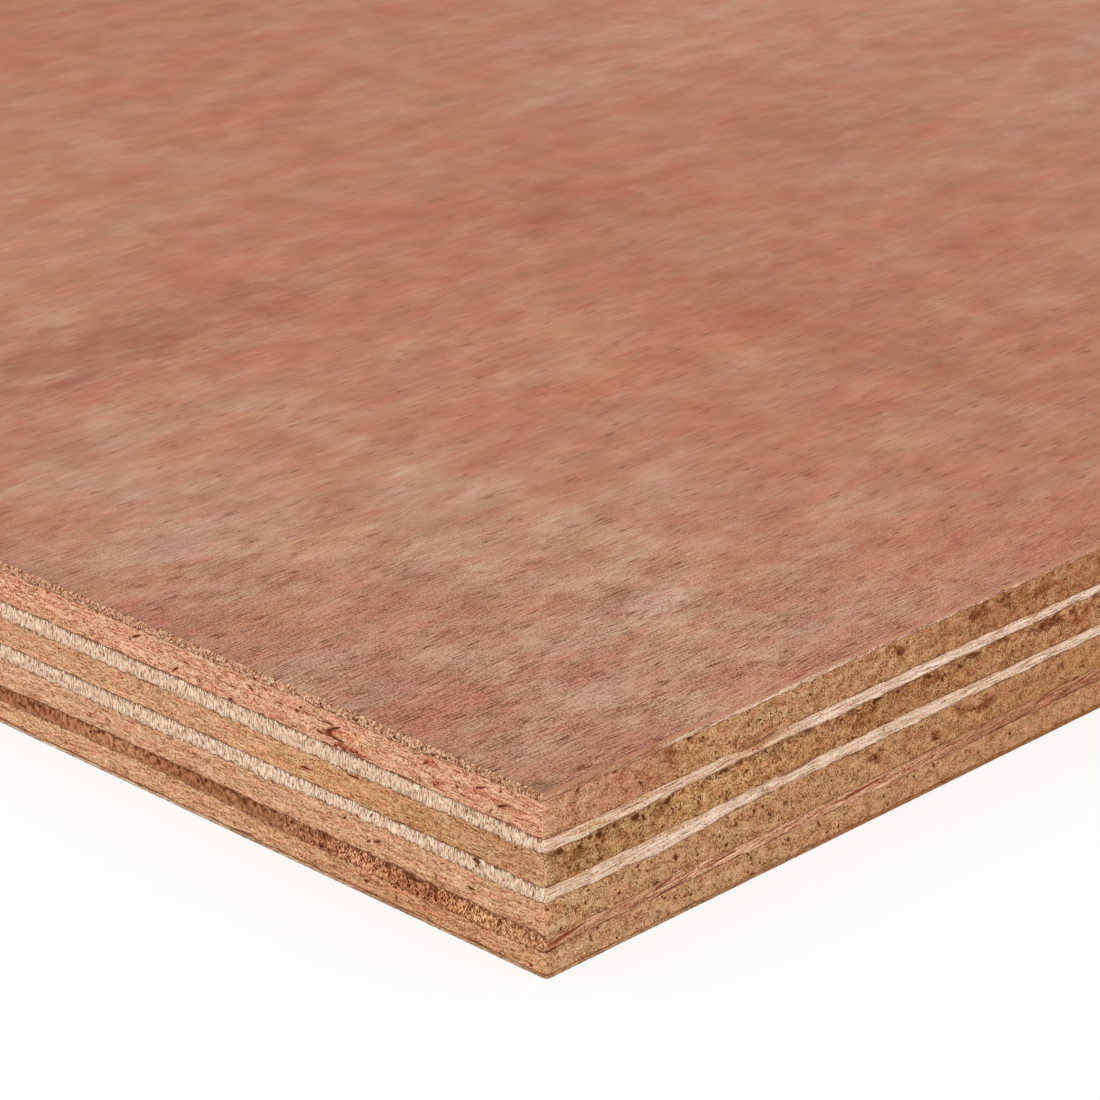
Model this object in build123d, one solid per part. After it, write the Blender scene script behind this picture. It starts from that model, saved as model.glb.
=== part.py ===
from build123d import *
import os

# A full sheet of nine-ply hardwood plywood, lying flat on its back: nine separate veneers, pressed face to face.
# The origin is the centre of the underside. +X runs along the sheet, the way the grain of both its faces runs, and
# +Z points up, out of the better face. Lengths are in millimetres.

# Trimmed size of the sheet, and how far handling has blunted its four corners
sheet_length = 2440.0
sheet_width = 1220.0
corner_radius = 0.5

# Thickness of each veneer after pressing and sanding, from the better face down
face_veneer_thickness = 0.7
cross_ply_1_thickness = 3.6
long_ply_1_thickness = 1.5
cross_ply_2_thickness = 3.1
long_ply_2_thickness = 1.6
cross_ply_3_thickness = 3.2
long_ply_3_thickness = 1.55
cross_ply_4_thickness = 2.4
back_veneer_thickness = 0.35

# The sander takes the sharp arris off both faces, but never more than this share of the thin veneer it cuts
arris_ease = 0.15
arris_depth_share = 0.6

# The lay-up, from the underside up. The grain turns by a quarter from each veneer to the next, so the thin veneers
# run along the sheet and the thick ones across it.
lay_up = {
    "back_veneer": back_veneer_thickness,
    "cross_ply_4": cross_ply_4_thickness,
    "long_ply_3": long_ply_3_thickness,
    "cross_ply_3": cross_ply_3_thickness,
    "long_ply_2": long_ply_2_thickness,
    "cross_ply_2": cross_ply_2_thickness,
    "long_ply_1": long_ply_1_thickness,
    "cross_ply_1": cross_ply_1_thickness,
    "face_veneer": face_veneer_thickness,
}


def veneer(underside, thickness):
    """One veneer, trimmed and blunted with the whole sheet, with its underside at the given height."""
    outline = Plane.XY.offset(underside) * RectangleRounded(sheet_length, sheet_width, corner_radius)
    return extrude(outline, amount=thickness)


def eased(outer_face, thickness):
    """The veneer that this face belongs to, with the arrises round the face taken off."""
    ease = min(arris_ease, thickness * arris_depth_share)
    return chamfer(outer_face.edges(), length=ease)


def press(thicknesses):
    """All the veneers, stacked on each other, with the arrises of the sheet's two faces eased."""
    sheet = {}
    underside = 0.0
    for name, thickness in thicknesses.items():
        sheet[name] = veneer(underside, thickness)
        underside += thickness
    back = sheet["back_veneer"].faces().sort_by(Axis.Z)[0]
    sheet["back_veneer"] = eased(back, back_veneer_thickness)
    face = sheet["face_veneer"].faces().sort_by(Axis.Z)[-1]
    sheet["face_veneer"] = eased(face, face_veneer_thickness)
    return sheet


os.makedirs("parts", exist_ok=True)
for node, ply in press(lay_up).items():
    ply.label = node
    export_step(ply, f"parts/{node}.step")
    size = ply.bounding_box().size
    print(f"{node}: {size.X:.1f} x {size.Y:.1f} x {size.Z:.2f} mm")
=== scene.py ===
# %% [markdown]
# # A sheet of plywood, seen at one corner
#
# Plywood is peeled wood, glued up crosswise. A log turns against a long knife, the knife takes off a ribbon
# of veneer, and the ribbons are stacked with the grain of each one across its neighbours. On the sawn edges
# every second veneer therefore shows its fibres end on, and the others show them lengthwise, and round the
# corner it is the other way about. That change is what the eye reads as plywood, so each veneer is its own
# mesh here, and each of its sides has a finish of its own.
#
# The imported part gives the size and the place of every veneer. This script adds what the saw, the knife and
# the glue press left on them.

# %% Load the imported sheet
import bpy
import math
import numpy as np
from mathutils import Matrix, Vector
from mathutils.geometry import delaunay_2d_cdt


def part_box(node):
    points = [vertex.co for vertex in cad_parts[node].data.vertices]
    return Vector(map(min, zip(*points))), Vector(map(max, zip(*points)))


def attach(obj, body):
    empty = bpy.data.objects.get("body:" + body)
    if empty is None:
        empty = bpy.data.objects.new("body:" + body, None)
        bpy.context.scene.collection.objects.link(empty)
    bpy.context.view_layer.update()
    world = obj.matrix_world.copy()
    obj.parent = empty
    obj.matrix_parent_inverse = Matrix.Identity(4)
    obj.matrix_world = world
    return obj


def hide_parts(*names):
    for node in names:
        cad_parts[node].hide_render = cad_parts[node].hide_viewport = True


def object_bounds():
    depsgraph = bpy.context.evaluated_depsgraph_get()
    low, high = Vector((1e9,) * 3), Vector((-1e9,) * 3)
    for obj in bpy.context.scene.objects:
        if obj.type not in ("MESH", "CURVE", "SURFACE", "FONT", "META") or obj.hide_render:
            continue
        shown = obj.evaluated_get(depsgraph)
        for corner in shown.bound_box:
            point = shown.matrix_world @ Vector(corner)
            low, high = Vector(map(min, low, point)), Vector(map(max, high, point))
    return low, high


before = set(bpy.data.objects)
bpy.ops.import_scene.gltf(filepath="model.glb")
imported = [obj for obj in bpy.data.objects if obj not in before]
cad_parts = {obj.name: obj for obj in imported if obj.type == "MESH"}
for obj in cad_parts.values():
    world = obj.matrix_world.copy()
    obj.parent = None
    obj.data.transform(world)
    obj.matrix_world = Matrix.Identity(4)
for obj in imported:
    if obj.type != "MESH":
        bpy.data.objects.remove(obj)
packed_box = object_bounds()
packed_size = [round(high - low, 4) for low, high in zip(*packed_box)]
print(len(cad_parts), "packed veneers, metres:", packed_size)

# %% [markdown]
# ## The lay-up
#
# The veneers are listed from the floor up, with the way their fibres run. Thin ones run along the sheet and
# thick ones across it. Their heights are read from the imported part, so that a change of thickness there is
# followed.
#
# All lengths that a maker would measure are written in millimetres, and `MM` turns them into metres.

# %% Lay-up and heights
MM = 0.001
VENEERS = (
    "back_veneer", "cross_ply_4", "long_ply_3", "cross_ply_3", "long_ply_2",
    "cross_ply_2", "long_ply_1", "cross_ply_1", "face_veneer",
)
underside = {name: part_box(name)[0].z / MM for name in VENEERS}
sheet_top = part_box("face_veneer")[1].z / MM
sheet_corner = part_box("cross_ply_1")[1]
half_length = sheet_corner.x / MM
half_width = sheet_corner.y / MM
runs_across = {name for name in VENEERS if name.startswith("cross")}
for name in VENEERS:
    print(f"{name}: underside {underside[name]:.2f} mm, grain {'across' if name in runs_across else 'along'}")

# %% [markdown]
# ## Camera
#
# The picture looks down on one corner from about a forearm's length, through a long lens. The corner is the
# origin of the measurements: +X runs along the long side, which leaves the picture on the right, and +Y
# along the short end, which leaves it on the left. A camera can be aimed with a Track To constraint, but a
# slight roll has to be kept too, so the three camera axes are written out and become the columns of its
# matrix.

# %% Camera
PICTURE_PIXELS = 1100
FOCAL_PIXELS = 4040.35
SENSOR_WIDTH = 36.0
NEAREST, FARTHEST = 0.01, 100.0
CAMERA_HEADING = math.radians(45.737)
CAMERA_PITCH = math.radians(22.547)
CAMERA_ROLL = math.radians(1.112)
CAMERA_FROM_CORNER = Vector((-218.013, -225.181, 171.064))
near_corner = Vector((-half_length, -half_width, 0.0))


def camera_axes(heading, pitch, roll):
    """The camera's right, up and backward directions."""
    forward = Vector((
        math.cos(heading) * math.cos(pitch),
        math.sin(heading) * math.cos(pitch),
        -math.sin(pitch),
    ))
    level_right = Vector((math.sin(heading), -math.cos(heading), 0.0))
    level_down = forward.cross(level_right)
    right = math.cos(roll) * level_right + math.sin(roll) * level_down
    down = math.cos(roll) * level_down - math.sin(roll) * level_right
    return right, -down, -forward


camera_data = bpy.data.cameras.new("camera")
camera_data.sensor_width = SENSOR_WIDTH
camera_data.lens = SENSOR_WIDTH * FOCAL_PIXELS / PICTURE_PIXELS
camera_data.clip_start = NEAREST
camera_data.clip_end = FARTHEST
camera = bpy.data.objects.new("camera", camera_data)
bpy.context.scene.collection.objects.link(camera)
turn = Matrix(camera_axes(CAMERA_HEADING, CAMERA_PITCH, CAMERA_ROLL)).transposed().to_4x4()
camera.matrix_world = Matrix.Translation((near_corner + CAMERA_FROM_CORNER) * MM) @ turn
bpy.context.scene.camera = camera
bpy.context.scene.view_settings.view_transform = "Standard"
print("lens", round(camera_data.lens, 1), "mm, camera at", [round(v, 4) for v in camera.location])

# %% [markdown]
# ## Building node trees
#
# Materials and Geometry Nodes are built the same way: add a node, set it up, feed its inputs. One small
# helper does all three, and takes a plain value or the output of another node for any input. Two more stand
# for the nodes that are wanted most often, a sum and a soft step.

# %% Node helpers
def add(tree, kind, feeds=(), **settings):
    """A new node. feeds gives its inputs by name or number, as plain values or as outputs of other nodes."""
    node = tree.nodes.new(kind)
    for name, value in settings.items():
        setattr(node, name, value)
    for socket, value in dict(feeds).items():
        if isinstance(value, bpy.types.NodeSocket):
            tree.links.new(value, node.inputs[socket])
        else:
            node.inputs[socket].default_value = value
    return node


def arithmetic(tree, operation, *values):
    """One step of arithmetic on one, two or three values."""
    return add(tree, "ShaderNodeMath", dict(enumerate(values)), operation=operation).outputs[0]


def soft_step(tree, value, low, high, full=1.0):
    """0 at low, full at high, and a smooth step between. Low may be the larger one."""
    return add(tree, "ShaderNodeMapRange", {
        "Value": value, "From Min": low, "From Max": high, "To Max": full,
    }, interpolation_type="SMOOTHSTEP").outputs["Result"]


def linear(colour):
    """A colour written as in a paint program, 0 to 255, as the light that Blender works with."""
    shares = [value / 255 for value in colour]
    return [s / 12.92 if s <= 0.04045 else ((s + 0.055) / 1.055) ** 2.4 for s in shares]


# %% [markdown]
# ## Light and floor
#
# The sheet lies in an even white studio: no shadow to speak of, and a background that is simply white. The
# world gives most of the light, at a plain level, so that a colour renders about as it is written. A broad
# soft sun from the left adds the little that makes torn fibres readable, and leaves the right-hand side a
# touch darker.
#
# Turning the lamps up until the floor clips would wash out the wood. The floor is instead shown white to
# the camera by Light Path, mixed with a diffuse part that keeps the sheet's contact shadow.

# %% World and sun
PURE_WHITE = (1.0, 1.0, 1.0, 1.0)
WORLD_LIGHT = 0.74
SUN_LIGHT = 1.42
SUN_SOFTNESS = math.radians(50)
SUN_HEIGHT = math.radians(38)
SUN_HEADING = math.radians(221)


def seen_directly(tree):
    """1 for rays from the camera, or by way of a mirror or glass, and 0 for light that is gathered."""
    path = add(tree, "ShaderNodeLightPath").outputs
    seen = arithmetic(tree, "MAXIMUM", path["Is Camera Ray"], path["Is Glossy Ray"])
    return arithmetic(tree, "MAXIMUM", seen, path["Is Transmission Ray"])


world = bpy.data.worlds.new("studio")
world.use_nodes = True
world.node_tree.nodes.clear()
gathered, shown = (
    add(world.node_tree, "ShaderNodeBackground", {"Color": PURE_WHITE, "Strength": strength}).outputs[0]
    for strength in (WORLD_LIGHT, 1.0)
)
both = add(world.node_tree, "ShaderNodeMixShader", {0: seen_directly(world.node_tree), 1: gathered, 2: shown})
add(world.node_tree, "ShaderNodeOutputWorld", {"Surface": both.outputs[0]})
bpy.context.scene.world = world

sun_data = bpy.data.lights.new("soft_sun", "SUN")
sun_data.energy = SUN_LIGHT
sun_data.angle = SUN_SOFTNESS
sun = bpy.data.objects.new("soft_sun", sun_data)
towards_sun = Vector((
    math.cos(SUN_HEIGHT) * math.cos(SUN_HEADING),
    math.cos(SUN_HEIGHT) * math.sin(SUN_HEADING),
    math.sin(SUN_HEIGHT),
))
sun.rotation_euler = towards_sun.to_track_quat("Z", "Y").to_euler()
bpy.context.scene.collection.objects.link(sun)
print("light towards", [round(v, 2) for v in towards_sun])

# %% Floor
FLOOR_HALF_SIZE = 30.0
FLOOR_WHITE = (0.9, 0.9, 0.9, 1.0)
CONTACT_SHADOW = 0.3


def floor_finish():
    """White to the camera, with a faint shadow, and a plain pale floor to the light that it bounces."""
    material = bpy.data.materials.new("studio_floor")
    material.use_nodes = True
    tree = material.node_tree
    tree.nodes.clear()
    pale = add(tree, "ShaderNodeBsdfDiffuse", {"Color": FLOOR_WHITE})
    shaded = add(tree, "ShaderNodeBsdfDiffuse", {"Color": PURE_WHITE})
    white = add(tree, "ShaderNodeEmission", {"Color": PURE_WHITE, "Strength": 1.0})
    shown = add(tree, "ShaderNodeMixShader", {0: CONTACT_SHADOW, 1: white.outputs[0], 2: shaded.outputs[0]})
    whole = add(tree, "ShaderNodeMixShader", {
        0: seen_directly(tree), 1: pale.outputs[0], 2: shown.outputs[0],
    })
    add(tree, "ShaderNodeOutputMaterial", {"Surface": whole.outputs[0]})
    return material


floor_mesh = bpy.data.meshes.new("floor")
floor_corners = [
    (x * FLOOR_HALF_SIZE, y * FLOOR_HALF_SIZE, 0.0) for x, y in ((-1, -1), (1, -1), (1, 1), (-1, 1))
]
floor_mesh.from_pydata(floor_corners, [], [(0, 1, 2, 3)])
floor_mesh.materials.append(floor_finish())
floor = bpy.data.objects.new("floor", floor_mesh)
bpy.context.scene.collection.objects.link(floor)
print("floor", 2 * FLOOR_HALF_SIZE, "m wide")

# %% [markdown]
# ## Stations round the sheet
#
# Every veneer has the same outline, so they all share one list of stations round it, and a glue line
# between two veneers is the same line for both. Near the corner that the camera looks at, a station stands
# every few hair's-breadths, because torn fibres are that small. Further off they spread out, and the mesh
# stays light.

# %% Stations
FINE_STEP = 0.13
FINE_REACH = 92.0
COARSE_STEP = 9.0
STEP_GROWTH = 1.05
CORNER_RADIUS = 0.5
CORNER_STEPS = 4
FINE_GAP, WIDE_GAP = 0.3, 1.5
OTHER_SIDE = {"long": "short", "short": "long"}


def steps_from_corner(length):
    """Distances from the near corner to the far one: evenly fine at first, then ever wider apart."""
    distances = list(np.arange(CORNER_RADIUS, FINE_REACH, FINE_STEP))
    step = FINE_STEP
    while distances[-1] + step < length - CORNER_RADIUS:
        distances.append(distances[-1] + step)
        step = min(step * STEP_GROWTH, COARSE_STEP)
    distances[-1] = length - CORNER_RADIUS
    return np.array(distances)


def plain_steps(length):
    """Evenly wide steps, for a side that is far from the camera."""
    return np.linspace(CORNER_RADIUS, length - CORNER_RADIUS, round(length / COARSE_STEP))


def outline_of_sheet():
    """Points, inward directions and side names, anticlockwise from the near corner."""
    long_side = steps_from_corner(2 * half_length)
    short_end = steps_from_corner(2 * half_width)
    sides = (
        ("long", long_side - half_length, -half_width, (0, -1)),
        ("short", plain_steps(2 * half_width) - half_width, half_length, (1, 0)),
        ("long", half_length - plain_steps(2 * half_length), half_width, (0, 1)),
        ("short", short_end[::-1] - half_width, -half_length, (-1, 0)),
    )
    points, inward, kinds = [], [], []
    for kind, places, fixed, outward in sides:
        normal = np.array(outward, float)
        for place in places:
            points.append((place, fixed) if kind == "long" else (fixed, place))
            inward.append(-normal)
            kinds.append(kind)
        along = np.array([-normal[1], normal[0]])
        centre = np.array(points[-1]) - normal * CORNER_RADIUS
        for step in range(1, CORNER_STEPS):
            angle = step / CORNER_STEPS * math.pi / 2
            spoke = math.cos(angle) * normal + math.sin(angle) * along
            points.append(tuple(centre + spoke * CORNER_RADIUS))
            inward.append(-spoke)
            kinds.append(kind if angle < math.pi / 4 else OTHER_SIDE[kind])
    return np.array(points), np.array(inward), np.array(kinds)


outline, inward, side_kind = outline_of_sheet()
on_long_side = side_kind == "long"
distance_along = np.where(on_long_side, outline[:, 0] + half_length, outline[:, 1] + half_width)
at_near_side = np.where(on_long_side, outline[:, 1] < 0, outline[:, 0] < 0)
gaps = np.linalg.norm(np.roll(outline, -1, axis=0) - outline, axis=1)
widest_gap = np.maximum(gaps, np.roll(gaps, 1))
fineness = np.clip((WIDE_GAP - widest_gap) / (WIDE_GAP - FINE_GAP), 0.0, 1.0)
print(len(outline), "stations, from", round(gaps.min(), 2), "to", round(gaps.max(), 1), "mm apart")

# %% [markdown]
# ## Where the veneers meet
#
# Peeled veneer is never quite even: the glue lines wander by a few tenths of a millimetre, and at the
# corner in view their places were measured. Two lists for each line give the height at a few distances from
# the corner, one down the short end and one down the long side, and both start from one height at the
# corner itself. Further away a slow random wander takes over. It comes from a seed, so the sheet is the
# same each time.
#
# Where a veneer ends in cut fibres, the saw also leaves its lower edge ragged, as short teeth.

# %% Glue lines
GLUE_LINES = {
    "face_veneer": {
        "corner": 17.35,
        "short": ((3, 17.24), (10, 17.3), (17, 17.06), (30, 17.2), (45, 17.15), (80, 17.2)),
        "long": ((14, 17.2), (24, 17.3), (32, 17.4), (40, 17.5), (60, 17.5), (80, 17.45)),
    },
    "cross_ply_1": {
        "corner": 13.6,
        "short": ((5, 13.64), (15, 13.76), (45, 13.79), (83, 13.76)),
        "long": ((5, 13.55), (10, 13.6), (20, 13.7), (35, 13.85), (62, 13.9), (72, 13.76), (80, 13.64)),
    },
    "long_ply_1": {
        "corner": 12.2,
        "short": ((5, 11.9), (10, 12.14), (17, 11.96), (30, 11.9), (40, 11.84), (60, 11.9), (80, 11.85)),
        "long": ((12, 12.26), (15, 12.4), (22, 12.56), (30, 12.6), (40, 12.5), (55, 12.7), (80, 12.8)),
    },
    "cross_ply_2": {
        "corner": 8.95,
        "short": ((20, 9.02), (45, 9.08), (80, 8.99)),
        "long": ((3, 8.84), (10, 8.96), (20, 9.05), (30, 9.2), (40, 9.32), (50, 9.44), (70, 9.26)),
    },
    "long_ply_2": {
        "corner": 7.4,
        "short": (
            (3, 7.25), (8, 7.25), (20, 7.64), (30, 7.64), (36, 7.25), (45, 7.4), (52, 7.15), (80, 7.25),
        ),
        "long": ((3, 7.5), (6, 7.25), (14, 7.1), (20, 7.4), (24, 7.76), (31, 8.0), (40, 7.85), (55, 8.05)),
    },
    "cross_ply_3": {
        "corner": 4.22,
        "short": ((10, 4.34), (12, 4.25), (20, 4.4), (33, 4.4), (40, 4.46), (70, 4.4), (80, 4.1)),
        "long": ((3, 4.1), (20, 4.1), (30, 3.95), (40, 4.16), (50, 4.3), (75, 4.55)),
    },
    "long_ply_3": {
        "corner": 2.5,
        "short": ((3, 2.3), (15, 2.3), (25, 2.45), (35, 2.6), (45, 2.75), (55, 2.9), (65, 2.75), (80, 2.36)),
        "long": ((2, 2.75), (10, 2.84), (20, 2.9), (45, 2.9), (50, 2.96), (75, 3.14)),
    },
    "cross_ply_4": {"corner": 0.33, "short": ((40, 0.35),), "long": ((40, 0.35),)},
}
MEASURED_REACH = 80.0
BLEND_REACH = 60.0
SLOW_WANDER = 0.22
SLOW_PITCH = 22.0
FINE_WANDER = 0.05
FINE_PITCH = 0.9
TOOTH = 0.16
TOOTH_PITCH = 0.28
FINE_SALT, TOOTH_SALT = 7, 8


def wander(distance, seed, pitch, reach):
    """A smooth random line, up to about reach either way, with a bend every pitch."""
    knots = np.random.default_rng(seed).uniform(-reach, reach, int(2 * half_length / pitch) + 4)
    place = distance / pitch
    left = np.floor(place).astype(int)
    turn = place - left
    ease = turn * turn * (3 - 2 * turn)
    return knots[left] * (1 - ease) + knots[left + 1] * ease


def glue_line(name, seed):
    """Height of the underside of this veneer at every station, in mm."""
    line = GLUE_LINES[name]
    heights = np.empty(len(outline))
    for kind in ("short", "long"):
        for near in (True, False):
            here = (side_kind == kind) & (at_near_side == near)
            distance = distance_along[here]
            to_end = 2 * (half_length if kind == "long" else half_width) - distance
            marks = ((0, line["corner"]),) + line[kind]
            measured = np.interp(distance, *zip(*marks))
            towards_random = np.clip((distance - MEASURED_REACH) / BLEND_REACH, 0, 1) if near else 1.0
            slow = wander(distance, (seed, kind == "long", near), SLOW_PITCH, SLOW_WANDER)
            from_ends = to_end if near else np.minimum(to_end, distance)
            random_line = underside[name] + slow * np.clip(from_ends / BLEND_REACH, 0, 1)
            height = measured * (1 - towards_random) + random_line * towards_random
            fine = wander(distance, (seed, FINE_SALT, kind == "long"), FINE_PITCH, FINE_WANDER)
            if kind == "short" and name.startswith("long"):
                fine = fine + wander(distance, (seed, TOOTH_SALT), TOOTH_PITCH, TOOTH)
            heights[here] = height + fine * fineness[here] * np.clip(distance, 0, 1)
    return heights


lines = {"back_veneer": np.zeros(len(outline)), "sheet_top": np.full(len(outline), sheet_top)}
for number, name in enumerate(VENEERS[1:]):
    lines[name] = glue_line(name, number)
above = dict(zip(VENEERS, VENEERS[1:] + ("sheet_top",)))
for name in VENEERS:
    thickness = lines[above[name]] - lines[name]
    print(f"{name}: {thickness.min():.2f} to {thickness.max():.2f} mm thick round the edge")

# %% [markdown]
# ## One veneer as a closed mesh
#
# A veneer is a wall round the edge, a narrow band on each flat face that takes up the wander of the glue
# line, and a flat fill inside the band. The wall is a grid of stations and rows. The fill could be one big
# n-gon, but a polygon with thousands of corners is triangulated in an unlucky way by some programs, so it
# is triangulated here, once, by a constrained Delaunay triangulation that every flat face then shares.
#
# Attributes travel with the mesh: which way is inward, how high in the veneer a point lies, how fine the
# mesh is there, and on each face which side of the sheet it belongs to. The next step and the finishes read
# them.

# %% Flat fill
BAND = 2.0
GRID_PITCH = 61.0
MERGE_WITHIN = 1e-7
INSIDE_ONLY = 1


def triangulate(ring, inner_points):
    """Triangles that fill the ring and use the inner points, as numbers of ring points, then inner points."""
    points = [Vector(p) for p in ring] + [Vector(p) for p in inner_points]
    made = delaunay_2d_cdt(points, [], [list(range(len(ring)))], INSIDE_ONLY, MERGE_WITHIN, True)
    first_of = [original[0] for original in made[3]]
    return np.array([[first_of[corner] for corner in face] for face in made[2]])


inner_ring = outline * (1 - BAND / half_length, 1 - BAND / half_width)
grid_x = np.arange(-half_length + GRID_PITCH, half_length - GRID_PITCH / 2, GRID_PITCH)
grid_y = np.arange(-half_width + GRID_PITCH, half_width - GRID_PITCH / 2, GRID_PITCH)
grid = np.array([(x, y) for x in grid_x for y in grid_y])
plain_fill = triangulate(inner_ring, [])
open_fill = triangulate(inner_ring, grid)
print(len(plain_fill), "triangles fill a glued face,", len(open_fill), "an open one")

# %% Veneer mesh
ROW_STEP = 0.16
UPPER_ARRIS = 0.3
LOWER_ARRIS = 0.03
HIDDEN, SHORT_END, LONG_SIDE, OPEN_FACE = range(4)


def wall_rows(name):
    """Rows up the wall, as (share of the veneer's height, mm lifted from there, mm set back)."""
    thickness = float(np.median(lines[above[name]] - lines[name]))
    shares = np.linspace(0, 1, max(2, round(thickness / ROW_STEP)) + 1)
    rows = [(share, 0.0, 0.0) for share in shares]
    ease = UPPER_ARRIS if name == "face_veneer" else LOWER_ARRIS
    turns = (0, math.pi / 6, math.pi / 3, math.pi / 2)
    corner = [(1 - math.cos(turn), 1 - math.sin(turn)) for turn in turns]
    if name == "face_veneer":
        rows = [(share * (1 - ease / thickness), 0.0, 0.0) for share in shares[:-1]]
        rows += [(1.0, -ease * drop, ease * back) for back, drop in corner]
    if name == "back_veneer":
        rows = [(0.0, ease * drop, ease * back) for back, drop in reversed(corner)]
        rows += [(ease / thickness + share * (1 - ease / thickness), 0.0, 0.0) for share in shares[1:]]
    return rows


def side_faces(count, row):
    """Quads between one row of stations and the next one up, all the way round."""
    here = np.arange(count)
    ahead = (here + 1) % count
    return np.stack([here, ahead, ahead + count, here + count], axis=1) + row * count


def veneer_mesh(name):
    """The closed mesh of one veneer, before the saw has torn it."""
    low, high = lines[name], lines[above[name]]
    count = len(outline)
    here = np.arange(count)
    ahead = (here + 1) % count
    points, shares = [], []
    for share, lift, back in wall_rows(name):
        height = low + (high - low) * share + lift
        points.append(np.column_stack([outline + inward * back, height]))
        shares.append((height - low) / (high - low))
    row_count = len(points)
    quads = [side_faces(count, row) for row in range(row_count - 1)]
    quad_facing = [np.where(on_long_side, LONG_SIDE, SHORT_END)] * (row_count - 1)
    triangles, triangle_facing = [], []
    next_free = row_count * count
    for end, level in (("low", underside[name]), ("high", underside.get(above[name], sheet_top))):
        is_open = (name, end) in (("back_veneer", "low"), ("face_veneer", "high"))
        kind = OPEN_FACE if is_open else HIDDEN
        row = 0 if end == "low" else (row_count - 1) * count
        way_round = -1 if end == "low" else 1
        ring = np.column_stack([inner_ring, np.full(count, level)])
        inner = np.column_stack([grid, np.full(len(grid), level)]) if is_open else np.empty((0, 3))
        band = np.stack([here + row, ahead + row, next_free + ahead, next_free + here], axis=1)
        fill = (open_fill if is_open else plain_fill) + next_free
        points += [ring, inner]
        quads.append(band[:, ::way_round])
        quad_facing.append(np.full(count, kind))
        triangles.append(fill[:, ::way_round])
        triangle_facing.append(np.full(len(fill), kind))
        next_free += count + len(inner)
    return (
        np.concatenate(points), np.concatenate(quads), np.concatenate(triangles),
        np.concatenate(quad_facing + triangle_facing), np.concatenate(shares), row_count,
    )


def fill_mesh(mesh, points, quads, triangles):
    """Gives the mesh its points and faces in one go, which is far faster than face by face."""
    corners = np.concatenate([quads.ravel(), triangles.ravel()]).astype(np.int32)
    sizes = np.concatenate([np.full(len(quads), 4), np.full(len(triangles), 3)])
    starts = np.concatenate([[0], np.cumsum(sizes)[:-1]]).astype(np.int32)
    mesh.vertices.add(len(points))
    mesh.vertices.foreach_set("co", (points * MM).astype(np.float32).ravel())
    mesh.loops.add(len(corners))
    mesh.loops.foreach_set("vertex_index", corners)
    mesh.polygons.add(len(sizes))
    mesh.polygons.foreach_set("loop_start", starts)
    mesh.update(calc_edges=True)
    mesh.validate()


def store(mesh, name, kind, domain, values):
    """Keeps one value for each point or face on the mesh, under that name."""
    attribute = mesh.attributes.new(name, kind, domain)
    field = "vector" if kind == "FLOAT_VECTOR" else "value"
    attribute.data.foreach_set(field, np.ascontiguousarray(values).ravel())
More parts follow.
